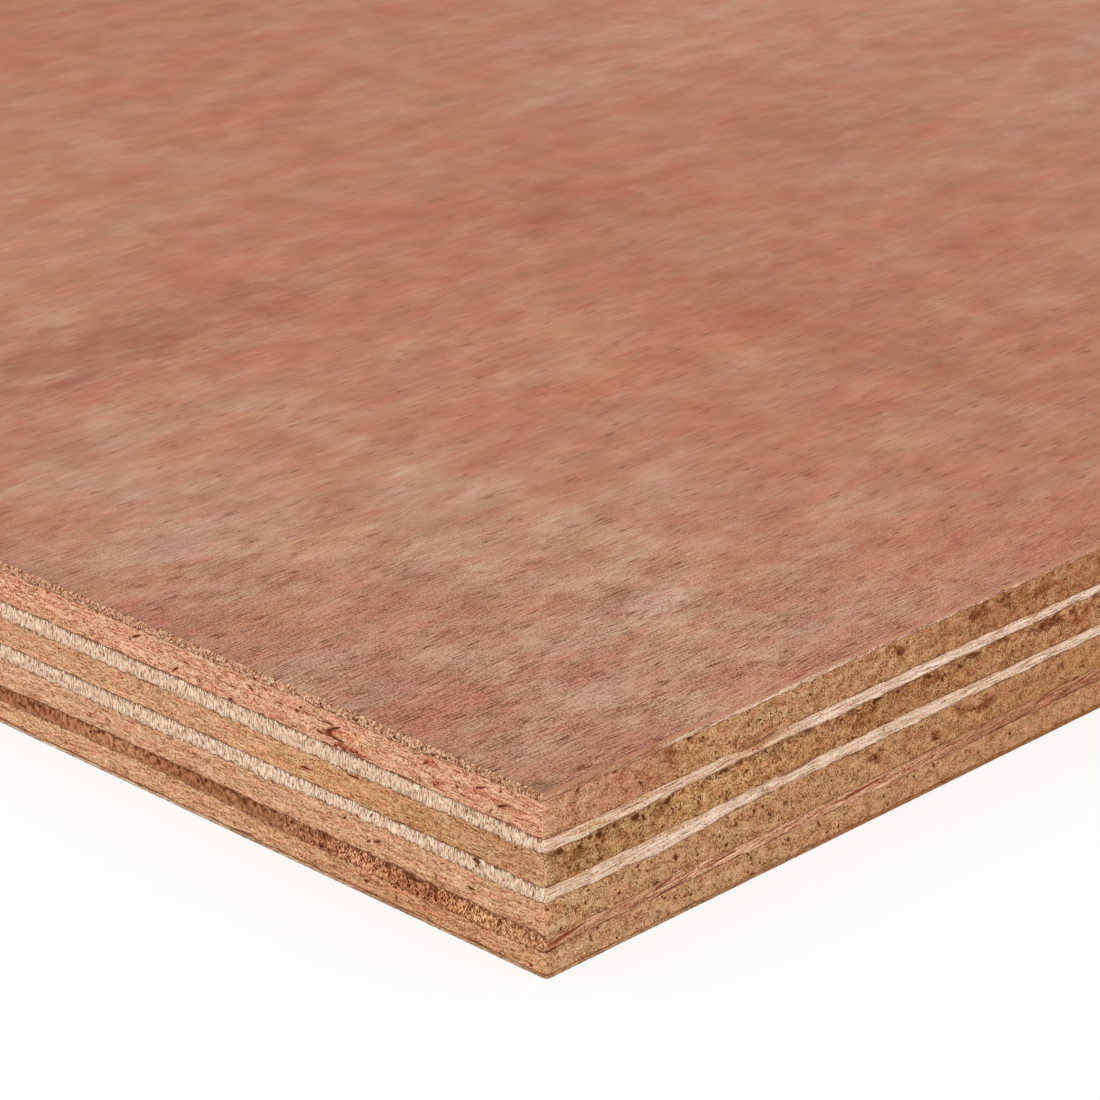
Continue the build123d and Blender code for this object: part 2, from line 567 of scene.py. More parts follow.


# %% [markdown]
# ## Splits and torn spots
#
# Some damage has a place of its own: a split where the saw lifted a sliver, or a pit where a knot of fibres
# came out. They are listed for the corner in view, veneer by veneer and side by side: the distance from
# the corner, the height, the length, half the width, and for some how steeply they climb. They become real
# hollows in the wall.

# %% Marks list
MARKS = {
    "face_veneer": {
        "short": (
            (9.7, 17.6, 0.1, 0.17), (10.8, 17.45, 0.1, 0.2), (12.4, 17.55, 0.3, 0.16, -1),
            (14, 17.35, 0.5, 0.16), (15.5, 17.5, 0.3, 0.2), (19, 17.45, 0.3, 0.18, 0.5),
            (24.4, 17.5, 0.4, 0.18), (26, 17.6, 0.1, 0.2),
        ),
    },
    "cross_ply_1": {
        "short": (
            (5.2, 15.25, 1.2, 0.17, -0.35), (5.4, 16.6, 0.4, 0.15, -0.6), (6.7, 14.3, 0.6, 0.15, -0.6),
            (8.1, 16.05, 1, 0.16, -0.25), (11, 15.2, 0.3, 0.17), (13.4, 14.72, 0.2, 0.2),
            (13.9, 14.4, 0.4, 0.14, -0.4), (14, 16.7, 0.2, 0.22), (15, 16.2, 0.7, 0.16, -0.45),
            (24.1, 14.3, 0.4, 0.16), (24.9, 14.05, 0.8, 0.17), (26, 13.96, 0.6, 0.19),
            (26.4, 14.2, 0.2, 0.18, -1), (27, 15.75, 1.4, 0.18, -0.45), (27.1, 13.98, 0.6, 0.19),
            (27.2, 14.72, 2.2, 0.16, 0.02), (27.8, 15.98, 1.8, 0.14, -0.06), (27.9, 15.2, 0.8, 0.3, -0.3),
            (29.2, 14.72, 1, 0.16), (31.7, 16.4, 0.4, 0.18, -0.6), (32.3, 15.85, 0.6, 0.18),
            (38.3, 15.1, 0.3, 0.18, 1), (38.7, 16.05, 0.8, 0.18, 0.5), (41.8, 14.05, 0.7, 0.18, -0.3),
            (48.2, 15.8, 0.6, 0.17), (49.8, 14.6, 1, 0.18, -0.7), (55.3, 16.4, 1.4, 0.17, -0.45),
            (56.4, 15.8, 0.2, 0.26),
        ),
        "long": (
            (4.4, 17, 0.6, 0.18, 0.3), (9, 17.15, 1.4, 0.12), (12.2, 14.9, 0.8, 0.17, -0.5),
            (18.4, 17.1, 0.6, 0.2), (20.2, 16.6, 0.3, 0.17), (21.7, 15.6, 0.2, 0.2, -2),
            (23.7, 14.9, 0.3, 0.2, -1), (26.4, 17.2, 0.3, 0.2), (27.6, 15.8, 0.2, 0.24, -1.5),
            (28.1, 15.3, 0.2, 0.18), (34.6, 16, 0.3, 0.26, -1), (47, 16.2, 0.4, 0.34, -0.5),
        ),
    },
    "long_ply_1": {
        "long": (
            (27, 13.6, 5, 0.15, 0.02),
        ),
    },
    "cross_ply_2": {
        "short": (
            (3.6, 11.75, 0.4, 0.18), (19.5, 9.6, 0.4, 0.16, 0.3), (24.9, 11.6, 1.6, 0.15, -0.05),
            (31.5, 10.3, 1.2, 0.15),
        ),
        "long": (
            (2.1, 11.85, 0.7, 0.42), (3.2, 9.9, 0.3, 0.2), (4.2, 9.7, 0.2, 0.26, -1),
            (4.5, 11.4, 0.6, 0.24, -0.4), (5.8, 11.85, 0.6, 0.28), (6.6, 10.8, 0.2, 0.2),
            (6.9, 11.75, 0.7, 0.4, -0.3), (7, 9.3, 0.7, 0.2), (7.9, 12, 0.3, 0.2), (8.8, 11.95, 0.3, 0.3),
            (10.2, 10.4, 0.2, 0.22, 1), (11.3, 10.2, 0.1, 0.28), (11.5, 11.8, 1, 0.36),
            (12.5, 11.4, 0.5, 0.32, -1), (13.8, 10.3, 0.2, 0.18), (14.8, 11.4, 0.3, 0.22, 0.8),
            (15, 9.6, 0.4, 0.2, 0.3), (15.6, 11.9, 0.8, 0.32, 0.2), (16.3, 12.2, 0.3, 0.22),
            (19.6, 10.4, 0.3, 0.22, -1), (22.8, 12.3, 1.2, 0.24, 0.1), (26, 11.2, 0.4, 0.22, 0.5),
            (40.6, 10.6, 0.3, 0.26, -1), (44, 12.3, 1.4, 0.22), (47, 12.2, 0.5, 0.24, -0.5),
            (51.5, 12.2, 0.9, 0.26, -0.3), (53.5, 11.2, 0.4, 0.28, -1), (56, 11.8, 0.6, 0.28, -0.4),
        ),
    },
    "long_ply_2": {
        "short": (
            (6.3, 8.8, 0.4, 0.22), (8.7, 8.7, 0.9, 0.36), (16.2, 8.5, 0.1, 0.26),
            (22.6, 8.4, 0.3, 0.26, -1), (29.4, 8.4, 0.1, 0.28),
        ),
        "long": (
            (32.5, 9.1, 4.5, 0.18, 0.02),
        ),
    },
    "cross_ply_3": {
        "short": (
            (9.6, 5.7, 1, 0.19, 0.1), (14.2, 5.3, 0.5, 0.15, 0.5), (21.9, 6, 0.9, 0.18, -0.3),
            (23, 5.7, 0.5, 0.17, -0.3), (26.2, 7, 0.4, 0.18, -0.3),
        ),
        "long": (
            (5.1, 5.7, 0.2, 0.34, -1.5), (5.4, 6.8, 0.3, 0.2), (9.3, 5.1, 0.4, 0.28),
            (11.7, 6.85, 0.5, 0.2), (16.6, 5.9, 0.4, 0.42, -0.5), (19.5, 5.1, 0.3, 0.2),
            (22.4, 5.9, 0.3, 0.22), (23.3, 4.7, 0.5, 0.2), (24.6, 6.3, 0.3, 0.28, -1),
            (27, 6.8, 0.4, 0.22), (29.1, 5.7, 0.3, 0.24, -1), (43.9, 6.4, 0.4, 0.34, -0.5),
            (52.6, 5.4, 0.3, 0.26, -1),
        ),
    },
    "long_ply_3": {
        "short": (
            (11.6, 3.4, 0.2, 0.2), (17, 3.9, 2.4, 0.17, -0.05), (26.4, 3.6, 0.4, 0.2, -2),
            (39, 4.05, 0.2, 0.36), (46.1, 4.2, 0.5, 0.3, -0.6), (47.2, 3.75, 0.4, 0.34),
            (54.9, 3.9, 0.2, 0.38), (62.2, 4.1, 0.5, 0.26, -0.5), (63.6, 3.7, 0.4, 0.34),
            (71.6, 3.9, 0.5, 0.34, -0.5),
        ),
        "long": (
            (1, 2.7, 2, 0.15), (2.6, 3.45, 4.4, 0.17, 0.12), (15, 3.85, 2.4, 0.18, 0.16),
            (16, 3, 4, 0.14, 0.07), (22, 3.5, 5, 0.14, 0.08), (41, 3.7, 7, 0.15, 0.04),
        ),
    },
    "cross_ply_4": {
        "short": (
            (2.1, 0.7, 0.4, 0.24), (19.5, 1.1, 0.3, 0.2), (19.7, 2.2, 0.5, 0.17), (23.6, 1.4, 0.7, 0.17),
        ),
        "long": (
            (1.5, 1.5, 0.1, 0.26), (5.7, 2, 0.4, 0.32, -2), (9, 0.7, 0.3, 0.18),
            (11.4, 1.7, 0.3, 0.2, -1), (15.2, 2.3, 0.3, 0.18), (18.6, 1.4, 0.3, 0.2),
            (26.2, 2.7, 0.4, 0.24, -1), (26.6, 2.1, 0.3, 0.22, -1.5), (31.6, 2.2, 0.5, 0.2, -0.6),
            (35.9, 2.3, 0.5, 0.22, -1.2), (45.2, 1.7, 0.3, 0.24, -2), (52.4, 2.6, 0.4, 0.28, -0.6),
        ),
    },
}


# %% Depth of the marks
MARK_RIM = 1.3
MARK_TAPER = 0.7


def mark_depth(name, points, row_count):
    """How deep each wall point lies in one of the veneer's own splits and pits, from 0 to 1."""
    count = len(outline) * row_count
    along = np.tile(distance_along, row_count)
    height = points[:count, 2]
    deepest = np.zeros(len(points))

    def depth_in(place, level, length, half_thick, climb=0.0):
        run = np.clip(along - place, -length / 2, length / 2)
        taper = 1 - MARK_TAPER * (2 * np.abs(run) / length) ** 2
        off_line = np.hypot(along - place - run, height - level - climb * run)
        return np.clip(MARK_RIM - off_line / (half_thick * taper), 0, 1)

    for kind, marks in MARKS.get(name, {}).items():
        on_side = np.tile(at_near_side & (side_kind == kind), row_count)
        for mark in marks:
            deepest[:count] = np.maximum(deepest[:count], depth_in(*mark) * on_side)
    return deepest


print({name: sum(len(marks) for marks in sides.values()) for name, sides in MARKS.items()}, "splits and pits")

# %% [markdown]
# ## The torn saw cut
#
# A saw does not leave wood flat. Fibres that it cuts across stand up as fuzz, and where it runs along them,
# flakes lift out. Both follow one rule, the fibre's own size, so this is a job for Geometry Nodes: a noise
# that is stretched along the fibres pushes each point of the wall inward. It is a solid noise, like the
# wood itself, so the same fibres show long on one side of the corner and short on the other. Nothing is
# pushed outward, because the imported sheet is the full size.
#
# The depth is stored as the attribute `torn`, and the finishes darken with it: painted shade in the torn
# hollows. Last, the tree gives each face the finish of its side.

# %% Tree helpers
def open_tree(name, inputs):
    """A Geometry Nodes tree with these named inputs and one mesh to hand out, and what it is given."""
    tree = bpy.data.node_groups.new(name, "GeometryNodeTree")
    for label, kind in inputs:
        tree.interface.new_socket(label, in_out="INPUT", socket_type="NodeSocket" + kind)
    tree.interface.new_socket("Geometry", in_out="OUTPUT", socket_type="NodeSocketGeometry")
    return tree, add(tree, "NodeGroupInput").outputs


def grown(name, mesh, tree, inputs):
    """The plain mesh that a tree makes of this one, as a new object. Nothing of the tree is left on it."""
    raw = bpy.data.objects.new(name + "_raw", mesh)
    bpy.context.scene.collection.objects.link(raw)
    identifiers = {item.name: item.identifier for item in tree.interface.items_tree if item.in_out == "INPUT"}
    modifier = raw.modifiers.new(tree.name, "NODES")
    modifier.node_group = tree
    for label, value in inputs.items():
        modifier[identifiers[label]] = value
    shaped = raw.evaluated_get(bpy.context.evaluated_depsgraph_get())
    piece = bpy.data.objects.new(name, bpy.data.meshes.new_from_object(shaped))
    bpy.data.objects.remove(raw)
    bpy.data.meshes.remove(mesh)
    bpy.context.scene.collection.objects.link(piece)
    return piece


# %% Saw cut tree
NOISE_MIDDLE = 0.5
FUZZ_LEVELS = (0.3, 0.7)
FLAKE_LEVELS = (NOISE_MIDDLE, 0.72)
SPLIT_LEVELS = (0.3, 0.8)
GROOVE_LEVELS = (0.08, 0.0)


def saw_cut_tree():
    """Pushes the walls of a veneer inward like torn wood, and hands out the finishes."""
    tree, given = open_tree("saw_cut", (
        ("Geometry", "Geometry"), ("Fibre Size", "Vector"), ("Flake Size", "Vector"), ("Fuzz", "Float"),
        ("Tear", "Float"), ("Glue Line", "Float"), ("Split", "Float"), ("Seed", "Float"),
        ("Hidden Finish", "Material"), ("Short End Finish", "Material"),
        ("Long Side Finish", "Material"), ("Open Face Finish", "Material"),
    ))
    place = add(tree, "GeometryNodeInputPosition").outputs[0]
    place_mm = add(tree, "ShaderNodeVectorMath", {0: place, 3: 1 / MM}, operation="SCALE").outputs[0]

    def kept(name, kind="FLOAT"):
        return add(tree, "GeometryNodeInputNamedAttribute", {"Name": name}, data_type=kind).outputs[0]

    def grain_noise(size, detail):
        stretched = add(tree, "ShaderNodeVectorMath", {0: place_mm, 1: size}, operation="DIVIDE").outputs[0]
        return add(tree, "ShaderNodeTexNoise", {
            "Vector": stretched, "W": given["Seed"], "Scale": 1.0, "Detail": detail, "Roughness": 0.6,
        }, noise_dimensions="4D").outputs[0]

    def deep(value, levels, depth):
        return arithmetic(tree, "MULTIPLY", soft_step(tree, value, *levels), depth)

    fuzz = deep(grain_noise(given["Fibre Size"], 2.0), FUZZ_LEVELS, given["Fuzz"])
    tears = deep(grain_noise(given["Flake Size"], 3.0), FLAKE_LEVELS, given["Tear"])
    groove = deep(kept("share"), GROOVE_LEVELS, given["Glue Line"])
    ragged = arithmetic(tree, "SUBTRACT", grain_noise(given["Fibre Size"], 3.0), NOISE_MIDDLE)
    splits = deep(arithmetic(tree, "ADD", kept("mark"), ragged), SPLIT_LEVELS, given["Split"])
    rough = arithmetic(tree, "ADD", arithmetic(tree, "ADD", fuzz, tears), groove)
    depth = arithmetic(tree, "MULTIPLY", arithmetic(tree, "MAXIMUM", rough, splits), kept("fine"))
    push = add(tree, "ShaderNodeVectorMath", {
        0: kept("inward", "FLOAT_VECTOR"), 3: arithmetic(tree, "MULTIPLY", depth, MM),
    }, operation="SCALE").outputs[0]
    remembered = add(tree, "GeometryNodeStoreNamedAttribute", {
        "Geometry": given["Geometry"], "Name": "torn", "Value": depth,
    }, data_type="FLOAT", domain="POINT").outputs[0]
    shaped = add(tree, "GeometryNodeSetPosition", {"Geometry": remembered, "Offset": push}).outputs[0]
    finished = add(tree, "GeometryNodeRealizeInstances", {"Geometry": shaped}).outputs[0]
    side = kept("facing", "INT")
    for number, name in (
        (HIDDEN, "Hidden Finish"), (SHORT_END, "Short End Finish"),
        (LONG_SIDE, "Long Side Finish"), (OPEN_FACE, "Open Face Finish"),
    ):
        chosen = add(tree, "FunctionNodeCompare", {2: side, 3: number}, data_type="INT", operation="EQUAL")
        finished = add(tree, "GeometryNodeSetMaterial", {
            "Geometry": finished, "Selection": chosen.outputs[0], "Material": given[name],
        }).outputs[0]
    add(tree, "NodeGroupOutput", {"Geometry": finished})
    return tree


saw_cut = saw_cut_tree()
print("saw cut tree:", len(saw_cut.nodes), "nodes")

# %% [markdown]
# ## Patterns on a side
#
# Wood has the same few ingredients everywhere: noise that is stretched along the fibres, round spots where
# pores are cut, and levels of both. The class below has one short method for each. Sizes are in
# millimetres.
#
# Every pattern reads Object coordinates. The pieces lie at the origin, so these are places on the sheet
# itself. Each finish lies on one kind of side, and a flat pattern is enough there: along the edge and up on
# the two kinds of edge, and along and across on a face. It costs half the time of a solid one.

# %% Patterns
SIDE_AXES = {"short": "YZ", "long": "XZ", "face": "XY"}
GRAIN_STEP = (17.3, 7.1)
SPOT_EDGE_SHARE = 0.45
CHANCE_STEP = 0.02


class Pattern:
    """Values that vary over one kind of side. Each method adds a few nodes and gives back their output."""

    def __init__(self, tree, seed, side):
        self.tree = tree
        self.seed = seed
        place = add(tree, "ShaderNodeTexCoord").outputs["Object"]
        parts = add(tree, "ShaderNodeSeparateXYZ", {0: place}).outputs
        self.along, self.up = (
            self.arithmetic("MULTIPLY_ADD", parts[axis], 1 / MM, -near_corner["XYZ".index(axis)])
            for axis in SIDE_AXES[side]
        )
        self.where = add(tree, "ShaderNodeCombineXYZ", {0: self.along, 1: self.up}).outputs[0]

    def arithmetic(self, operation, *values):
        """One step of arithmetic on one, two or three values."""
        return arithmetic(self.tree, operation, *values)

    def level(self, value, low, high, full=1.0):
        """0 at low, full at high, and a smooth step between. Low may be the larger one."""
        return soft_step(self.tree, value, low, high, full)

    def times(self, *values):
        """The product of several values."""
        result = values[0]
        for value in values[1:]:
            result = self.arithmetic("MULTIPLY", result, value)
        return result

    def counted(self, size, turn=0.0):
        """The place on this side, counted in grains of this size in mm, each time from another start."""
        self.seed += 1
        start = [step * self.seed for step in GRAIN_STEP]
        return add(self.tree, "ShaderNodeMapping", {
            "Vector": self.where, "Location": (*start, 0), "Rotation": (0, 0, turn), "Scale": (*size, 1),
        }, vector_type="TEXTURE").outputs[0]

    def noise(self, size, detail=2.0, roughness=0.55, distortion=0.0, turn=0.0):
        """Cloudy noise about its middle, with clouds of this size."""
        return add(self.tree, "ShaderNodeTexNoise", {
            "Vector": self.counted(size, turn), "Scale": 1.0, "Detail": detail,
            "Roughness": roughness, "Distortion": distortion,
        }, noise_dimensions="2D").outputs[0]

    def blend(self, first, second, share):
        """The average of two noises, with this share of the second."""
        return add(self.tree, "ShaderNodeMix", {0: share, 2: first, 3: second}, clamp_factor=False).outputs[0]

    def calmed(self, noise, strength):
        """The noise, drawn in towards its middle: whole where the strength is 1, flat where it is 0."""
        return self.blend(NOISE_MIDDLE, noise, strength)

    def swing(self, noise, reach):
        """The noise about 0 instead of about its middle, and this many times as strong."""
        return self.arithmetic("MULTIPLY_ADD", noise, reach, -reach * NOISE_MIDDLE)

    def spots(self, size, radius, kept):
        """Soft round spots, one in each cell of this size, of which only the kept share is there."""
        cells = add(self.tree, "ShaderNodeTexVoronoi", {
            "Vector": self.counted(size), "Scale": 1.0,
        }, voronoi_dimensions="2D").outputs
        chance = add(self.tree, "ShaderNodeSeparateColor", {0: cells["Color"]}).outputs[0]
        disc = self.level(cells["Distance"], radius, radius * SPOT_EDGE_SHARE)
        return self.times(disc, self.level(chance, kept + CHANCE_STEP, kept - CHANCE_STEP))

    def attribute(self, name):
        """A value that the mesh carries."""
        return add(self.tree, "ShaderNodeAttribute", attribute_name=name).outputs["Fac"]

    def off_centre(self, centre, reach):
        """0 at this place on the side, and 1 at the rim of an oval with this half width and half height."""
        scale = [1 / half for half in reach]
        shift = [-place / half for place, half in zip(centre, reach)]
        scaled = add(self.tree, "ShaderNodeVectorMath", {
            0: self.where, 1: (*scale, 0), 2: (*shift, 0),
        }, operation="MULTIPLY_ADD").outputs[0]
        return add(self.tree, "ShaderNodeVectorMath", {0: scaled}, operation="LENGTH").outputs["Value"]

    def from_corner(self):
        """How far in from the nearest corner a point of a face lies, along plus across, in mm."""
        return self.arithmetic("ADD", *(
            self.arithmetic("MINIMUM", place, self.arithmetic("SUBTRACT", 2 * half, place))
            for place, half in ((self.along, half_length), (self.up, half_width))
        ))


# %% [markdown]
# ## Colours on a pattern
#
# A finish starts as one ramp of tones. Everything else is laid over it: a tint, or a share of one more
# colour. A tint is written as a tone too, the one that the middle tone of the finish becomes there, because
# that can be compared with real wood. Colours are written as a paint program shows them.
#
# With one short method for each step, a finish further down reads like a list.

# %% Tones
FIBRE_CREAM = (250, 225, 200)
WARMER_STEP = (0.3, -1.0, -0.6)


def paler(tone, by=0.35):
    """The same tone, moved towards the cream of bare fibres by this share."""
    return [part + (whole - part) * by for part, whole in zip(tone, FIBRE_CREAM)]


def warmer(tone, by):
    """The same tone, moved towards red by a few steps of 255, or towards yellow if by is negative."""
    return [part + by * step for part, step in zip(tone, WARMER_STEP)]


def share_of(tone, middle):
    """What the middle tone is multiplied by, as light, to become this tone."""
    return [*(part / whole for part, whole in zip(linear(tone), linear(middle))), 1.0]


# %% Finish class
WHITE = (255, 255, 255)
DRIFT_REACH = 100.0
HUE_REACH = 0.14
PATCH_SWING = 3.0
PATCH_RIM = (1.3, 0.3)
MARK_SWING = 1.2
MARK_LEVELS = (0.33, 0.62)
MARK_STRENGTH = 0.95
RAW_WOOD_SPECULAR = 0.12


class Finish(Pattern):
    """One material while it is being mixed."""

    def __init__(self, name, seed, side):
        self.material = bpy.data.materials.new(name)
        self.material.use_nodes = True
        self.material.node_tree.nodes.clear()
        super().__init__(self.material.node_tree, seed, side)

    def ramp(self, value, stops, base=WHITE):
        """A colour for each value, through (value, colour) stops, as a share of the base colour."""
        node = add(self.tree, "ShaderNodeValToRGB", {0: value})
        elements = node.color_ramp.elements
        while len(elements) < len(stops):
            elements.new(1.0)
        for element, (place, colour) in zip(elements, stops):
            element.position = place
            element.color = share_of(colour, base)
        return node.outputs[0]

    def overlaid(self, share, colour, other, how):
        """The colour, with this share of another one laid over it."""
        return add(self.tree, "ShaderNodeMix", {
            0: share, 6: colour, 7: other,
        }, data_type="RGBA", blend_type=how).outputs[2]

    def mixed(self, share, colour, other):
        """The colour, with this share of another one, which may be a mixed one or a plain tone."""
        if not isinstance(other, bpy.types.NodeSocket):
            other = share_of(other, WHITE)
        return self.overlaid(share, colour, other, "MIX")

    def tinted(self, colour, value, middle, stops):
        """The colour, tinted so that its middle tone becomes the tone of the (value, tone) stops."""
        return self.overlaid(1.0, colour, self.ramp(value, stops, middle), "MULTIPLY")

    def hued(self, colour, noise, middle, at_low, at_high, reach=HUE_REACH):
        """The colour, made this much warmer where the noise is low, and this much where it is high."""
        return self.tinted(colour, noise, middle, (
            (NOISE_MIDDLE - reach, warmer(middle, at_low)), (NOISE_MIDDLE, middle),
            (NOISE_MIDDLE + reach, warmer(middle, at_high)),
        ))

    def drifting(self, colour, middle, stops, reach=DRIFT_REACH):
        """The colour, tinted along the edge through (mm from the near corner, tone) stops."""
        if not stops:
            return colour
        shares = [(distance / reach, tone) for distance, tone in stops]
        return self.tinted(colour, self.times(self.along, 1 / reach), middle, shares)

    def patched(self, colour, middle, patches, ragged):
        """The colour, tinted in soft patches of (centre, half size, tone) with ragged rims."""
        rim = self.swing(ragged, PATCH_SWING)
        for centre, reach, tone in patches:
            off = self.arithmetic("ADD", self.off_centre(centre, reach), rim)
            colour = self.overlaid(self.level(off, *PATCH_RIM), colour, share_of(tone, middle), "MULTIPLY")
        return colour

    def marked(self, ragged):
        """Where the splits and pits of the marks list are, with a ragged rim."""
        inside = self.arithmetic("ADD", self.attribute("mark"), self.swing(ragged, MARK_SWING))
        return self.level(inside, *MARK_LEVELS, MARK_STRENGTH)

    def shade_painted_in_hollows(self, colour, torn, split, ragged, torn_from=0.25, torn_to=0.42):
        """The colour, with painted shade where the fibres are torn this deep in mm, and in splits and pits a
        dark tone, partly darker wood and partly painted shade.
        """
        colour = self.mixed(self.level(self.attribute("torn"), torn_from, torn_to), colour, torn)
        return self.mixed(self.marked(ragged), colour, split)

    def done(self, colour, roughness=0.85, relief=None, relief_depth=0.05):
        """The finished material: this colour, dull like raw wood, with a fine relief in mm."""
        surface = add(self.tree, "ShaderNodeBsdfPrincipled", {
            "Base Color": colour, "Roughness": roughness, "Specular IOR Level": RAW_WOOD_SPECULAR,
        })
        if relief is not None:
            bump = add(self.tree, "ShaderNodeBump", {"Height": relief, "Distance": relief_depth * MM})
            self.tree.links.new(bump.outputs[0], surface.inputs["Normal"])
        add(self.tree, "ShaderNodeOutputMaterial", {"Surface": surface.outputs[0]})
        return self.material


# %% [markdown]
# ## Cross plies on the short end: fibres along the edge
#
# Here the saw ran along the fibres. The cut shows fine threads, a little wavy, in patches of pinker and
# yellower wood, with short dark slits between them, a few open pores and a thin dark glue line below.

# %% Torn long grain
# The tone in splits and pits: partly darker wood, partly painted shade.
TORN_OUT_AND_SHADE = (104, 43, 22)


def torn_long_grain(name, seed, dark, middle, light, slit_and_shade=(118, 56, 30), slits=0.75, dots=0.16, tints=(),
                    patches=()):
    """A cut along the fibres, on the short end."""
    mix = Finish(name, seed, "short")
    threads = mix.noise((0.95, 0.12), 2.0, 0.7, 0.3, turn=0.03)
    grit = mix.noise((0.26, 0.2), 1.0, 0.7)
    bundles = mix.noise((3.4, 0.55), 3.0, 0.65, 0.6)
    tone = mix.blend(mix.blend(threads, grit, 0.42), bundles, 0.26)
    colour = mix.ramp(tone, (
        (0.36, slit_and_shade), (0.44, dark), (0.5, middle), (0.553, light), (0.63, paler(light)),
    ))
    hue = mix.noise((3.0, 0.8), 3.0, 0.7)
    colour = mix.hued(colour, hue, middle, 6, -5)
    colour = mix.drifting(colour, middle, tints)
    colour = mix.patched(colour, middle, patches, bundles)
    cracks = mix.level(mix.noise((1.5, 0.2), 2.0, 0.6, 0.4), 0.35, 0.28)
    colour = mix.mixed(mix.times(cracks, slits), colour, slit_and_shade)
    pores = mix.spots((0.7, 0.5), 0.2, dots)
    colour = mix.mixed(mix.times(pores, 0.6), colour, slit_and_shade)
    glue = mix.times(mix.level(mix.attribute("share"), 0.06, 0.0), mix.level(bundles, 0.62, 0.4))
    colour = mix.mixed(mix.times(glue, 0.7), colour, slit_and_shade)
    # Painted shade: the slit tone where the saw tore the wall deep, and in splits and pits a dark tone,
    # partly darker wood and partly painted shade.
    colour = mix.shade_painted_in_hollows(colour, slit_and_shade, TORN_OUT_AND_SHADE, grit)
    return mix.done(colour, relief=tone, relief_depth=0.2)


# %% [markdown]
# ## Cross plies on the long side: fibres cut across
#
# Round the corner the same veneers show their fibres end on, as a sharp grit of cut cells with open pores.
# The pores come in clusters, where the wood grew fast. Cut cells soak up light, so this side is browner and
# more yellow.

# %% Cut pores
# The tone in splits and pits: partly darker wood, partly painted shade.
OPEN_PORE_AND_SHADE = (88, 42, 14)
CRISP_TO, SOFT_FROM = 38.0, 70.0
LEFT_WHEN_SOFT = 0.4
STEP_REACH = 2.0


def cut_pores(name, seed, dark, middle, light, pore_and_shade=(92, 46, 22), crowding=0.5, tints=(), top_shade=0.0,
              patches=(), smooth_to=-10.0):
    """A cut across the fibres, on the long side."""
    mix = Finish(name, seed, "long")
    grit = mix.noise((0.17, 0.19), 1.0, 0.6)
    stains = mix.noise((1.5, 1.0), 4.0, 0.76)
    tone = mix.blend(grit, stains, 0.52)
    colour = mix.ramp(tone, (
        (0.3, pore_and_shade), (0.41, dark), (0.5, middle), (0.59, light), (0.7, paler(light, 0.2)),
    ))
    hue = mix.noise((2.0, 1.5), 2.0)
    colour = mix.hued(colour, hue, middle, 4, -3)
    colour = mix.drifting(colour, middle, tints)
    colour = mix.patched(colour, middle, patches, stains)
    shade = mix.times(mix.level(mix.attribute("share"), 0.74, 0.96), mix.level(stains, 0.58, 0.42))
    colour = mix.mixed(mix.times(shade, top_shade), colour, pore_and_shade)
    grown_fast = mix.level(mix.along, smooth_to - STEP_REACH, smooth_to + STEP_REACH)
    crowded = mix.times(mix.level(mix.noise((2.4, 1.1), 3.0, 0.65), 0.44, 0.56), grown_fast)
    specks = mix.level(mix.noise((0.26, 0.34), 2.0, 0.6), 0.42, 0.33)
    crisp = mix.arithmetic(
        "MULTIPLY_ADD", mix.level(mix.along, SOFT_FROM, CRISP_TO), 1 - LEFT_WHEN_SOFT, LEFT_WHEN_SOFT,
    )
    colour = mix.mixed(mix.times(specks, crowded, crisp), colour, pore_and_shade)
    rare = 0.26 + 0.16 * crowding
    blots = mix.level(mix.noise((0.7, 0.6), 3.0, 0.6, 0.7), rare + 0.03, rare - 0.03)
    colour = mix.mixed(mix.times(blots, mix.level(crowded, -0.4, 0.8), grown_fast), colour, pore_and_shade)
    # Painted shade: the pore tone where the saw tore the wall deep, and in splits and pits a dark tone,
    # partly darker wood and partly painted shade.
    colour = mix.shade_painted_in_hollows(colour, pore_and_shade, OPEN_PORE_AND_SHADE, grit)
    return mix.done(colour, relief=tone, relief_depth=0.14)


# %% [markdown]
# ## Long plies on the short end: fuzz
#
# The pale veneers end here in cut fibres. The saw drags them down into short upright ribs, nearly white on
# their tops and brown in the gaps, with the dark mouths of pores between them.

# %% Fuzzy ends
# The tone in splits and pits: partly darker wood, partly painted shade.
SPLIT_FUZZ_AND_SHADE = (96, 50, 28)
RIB_SWING = 0.9


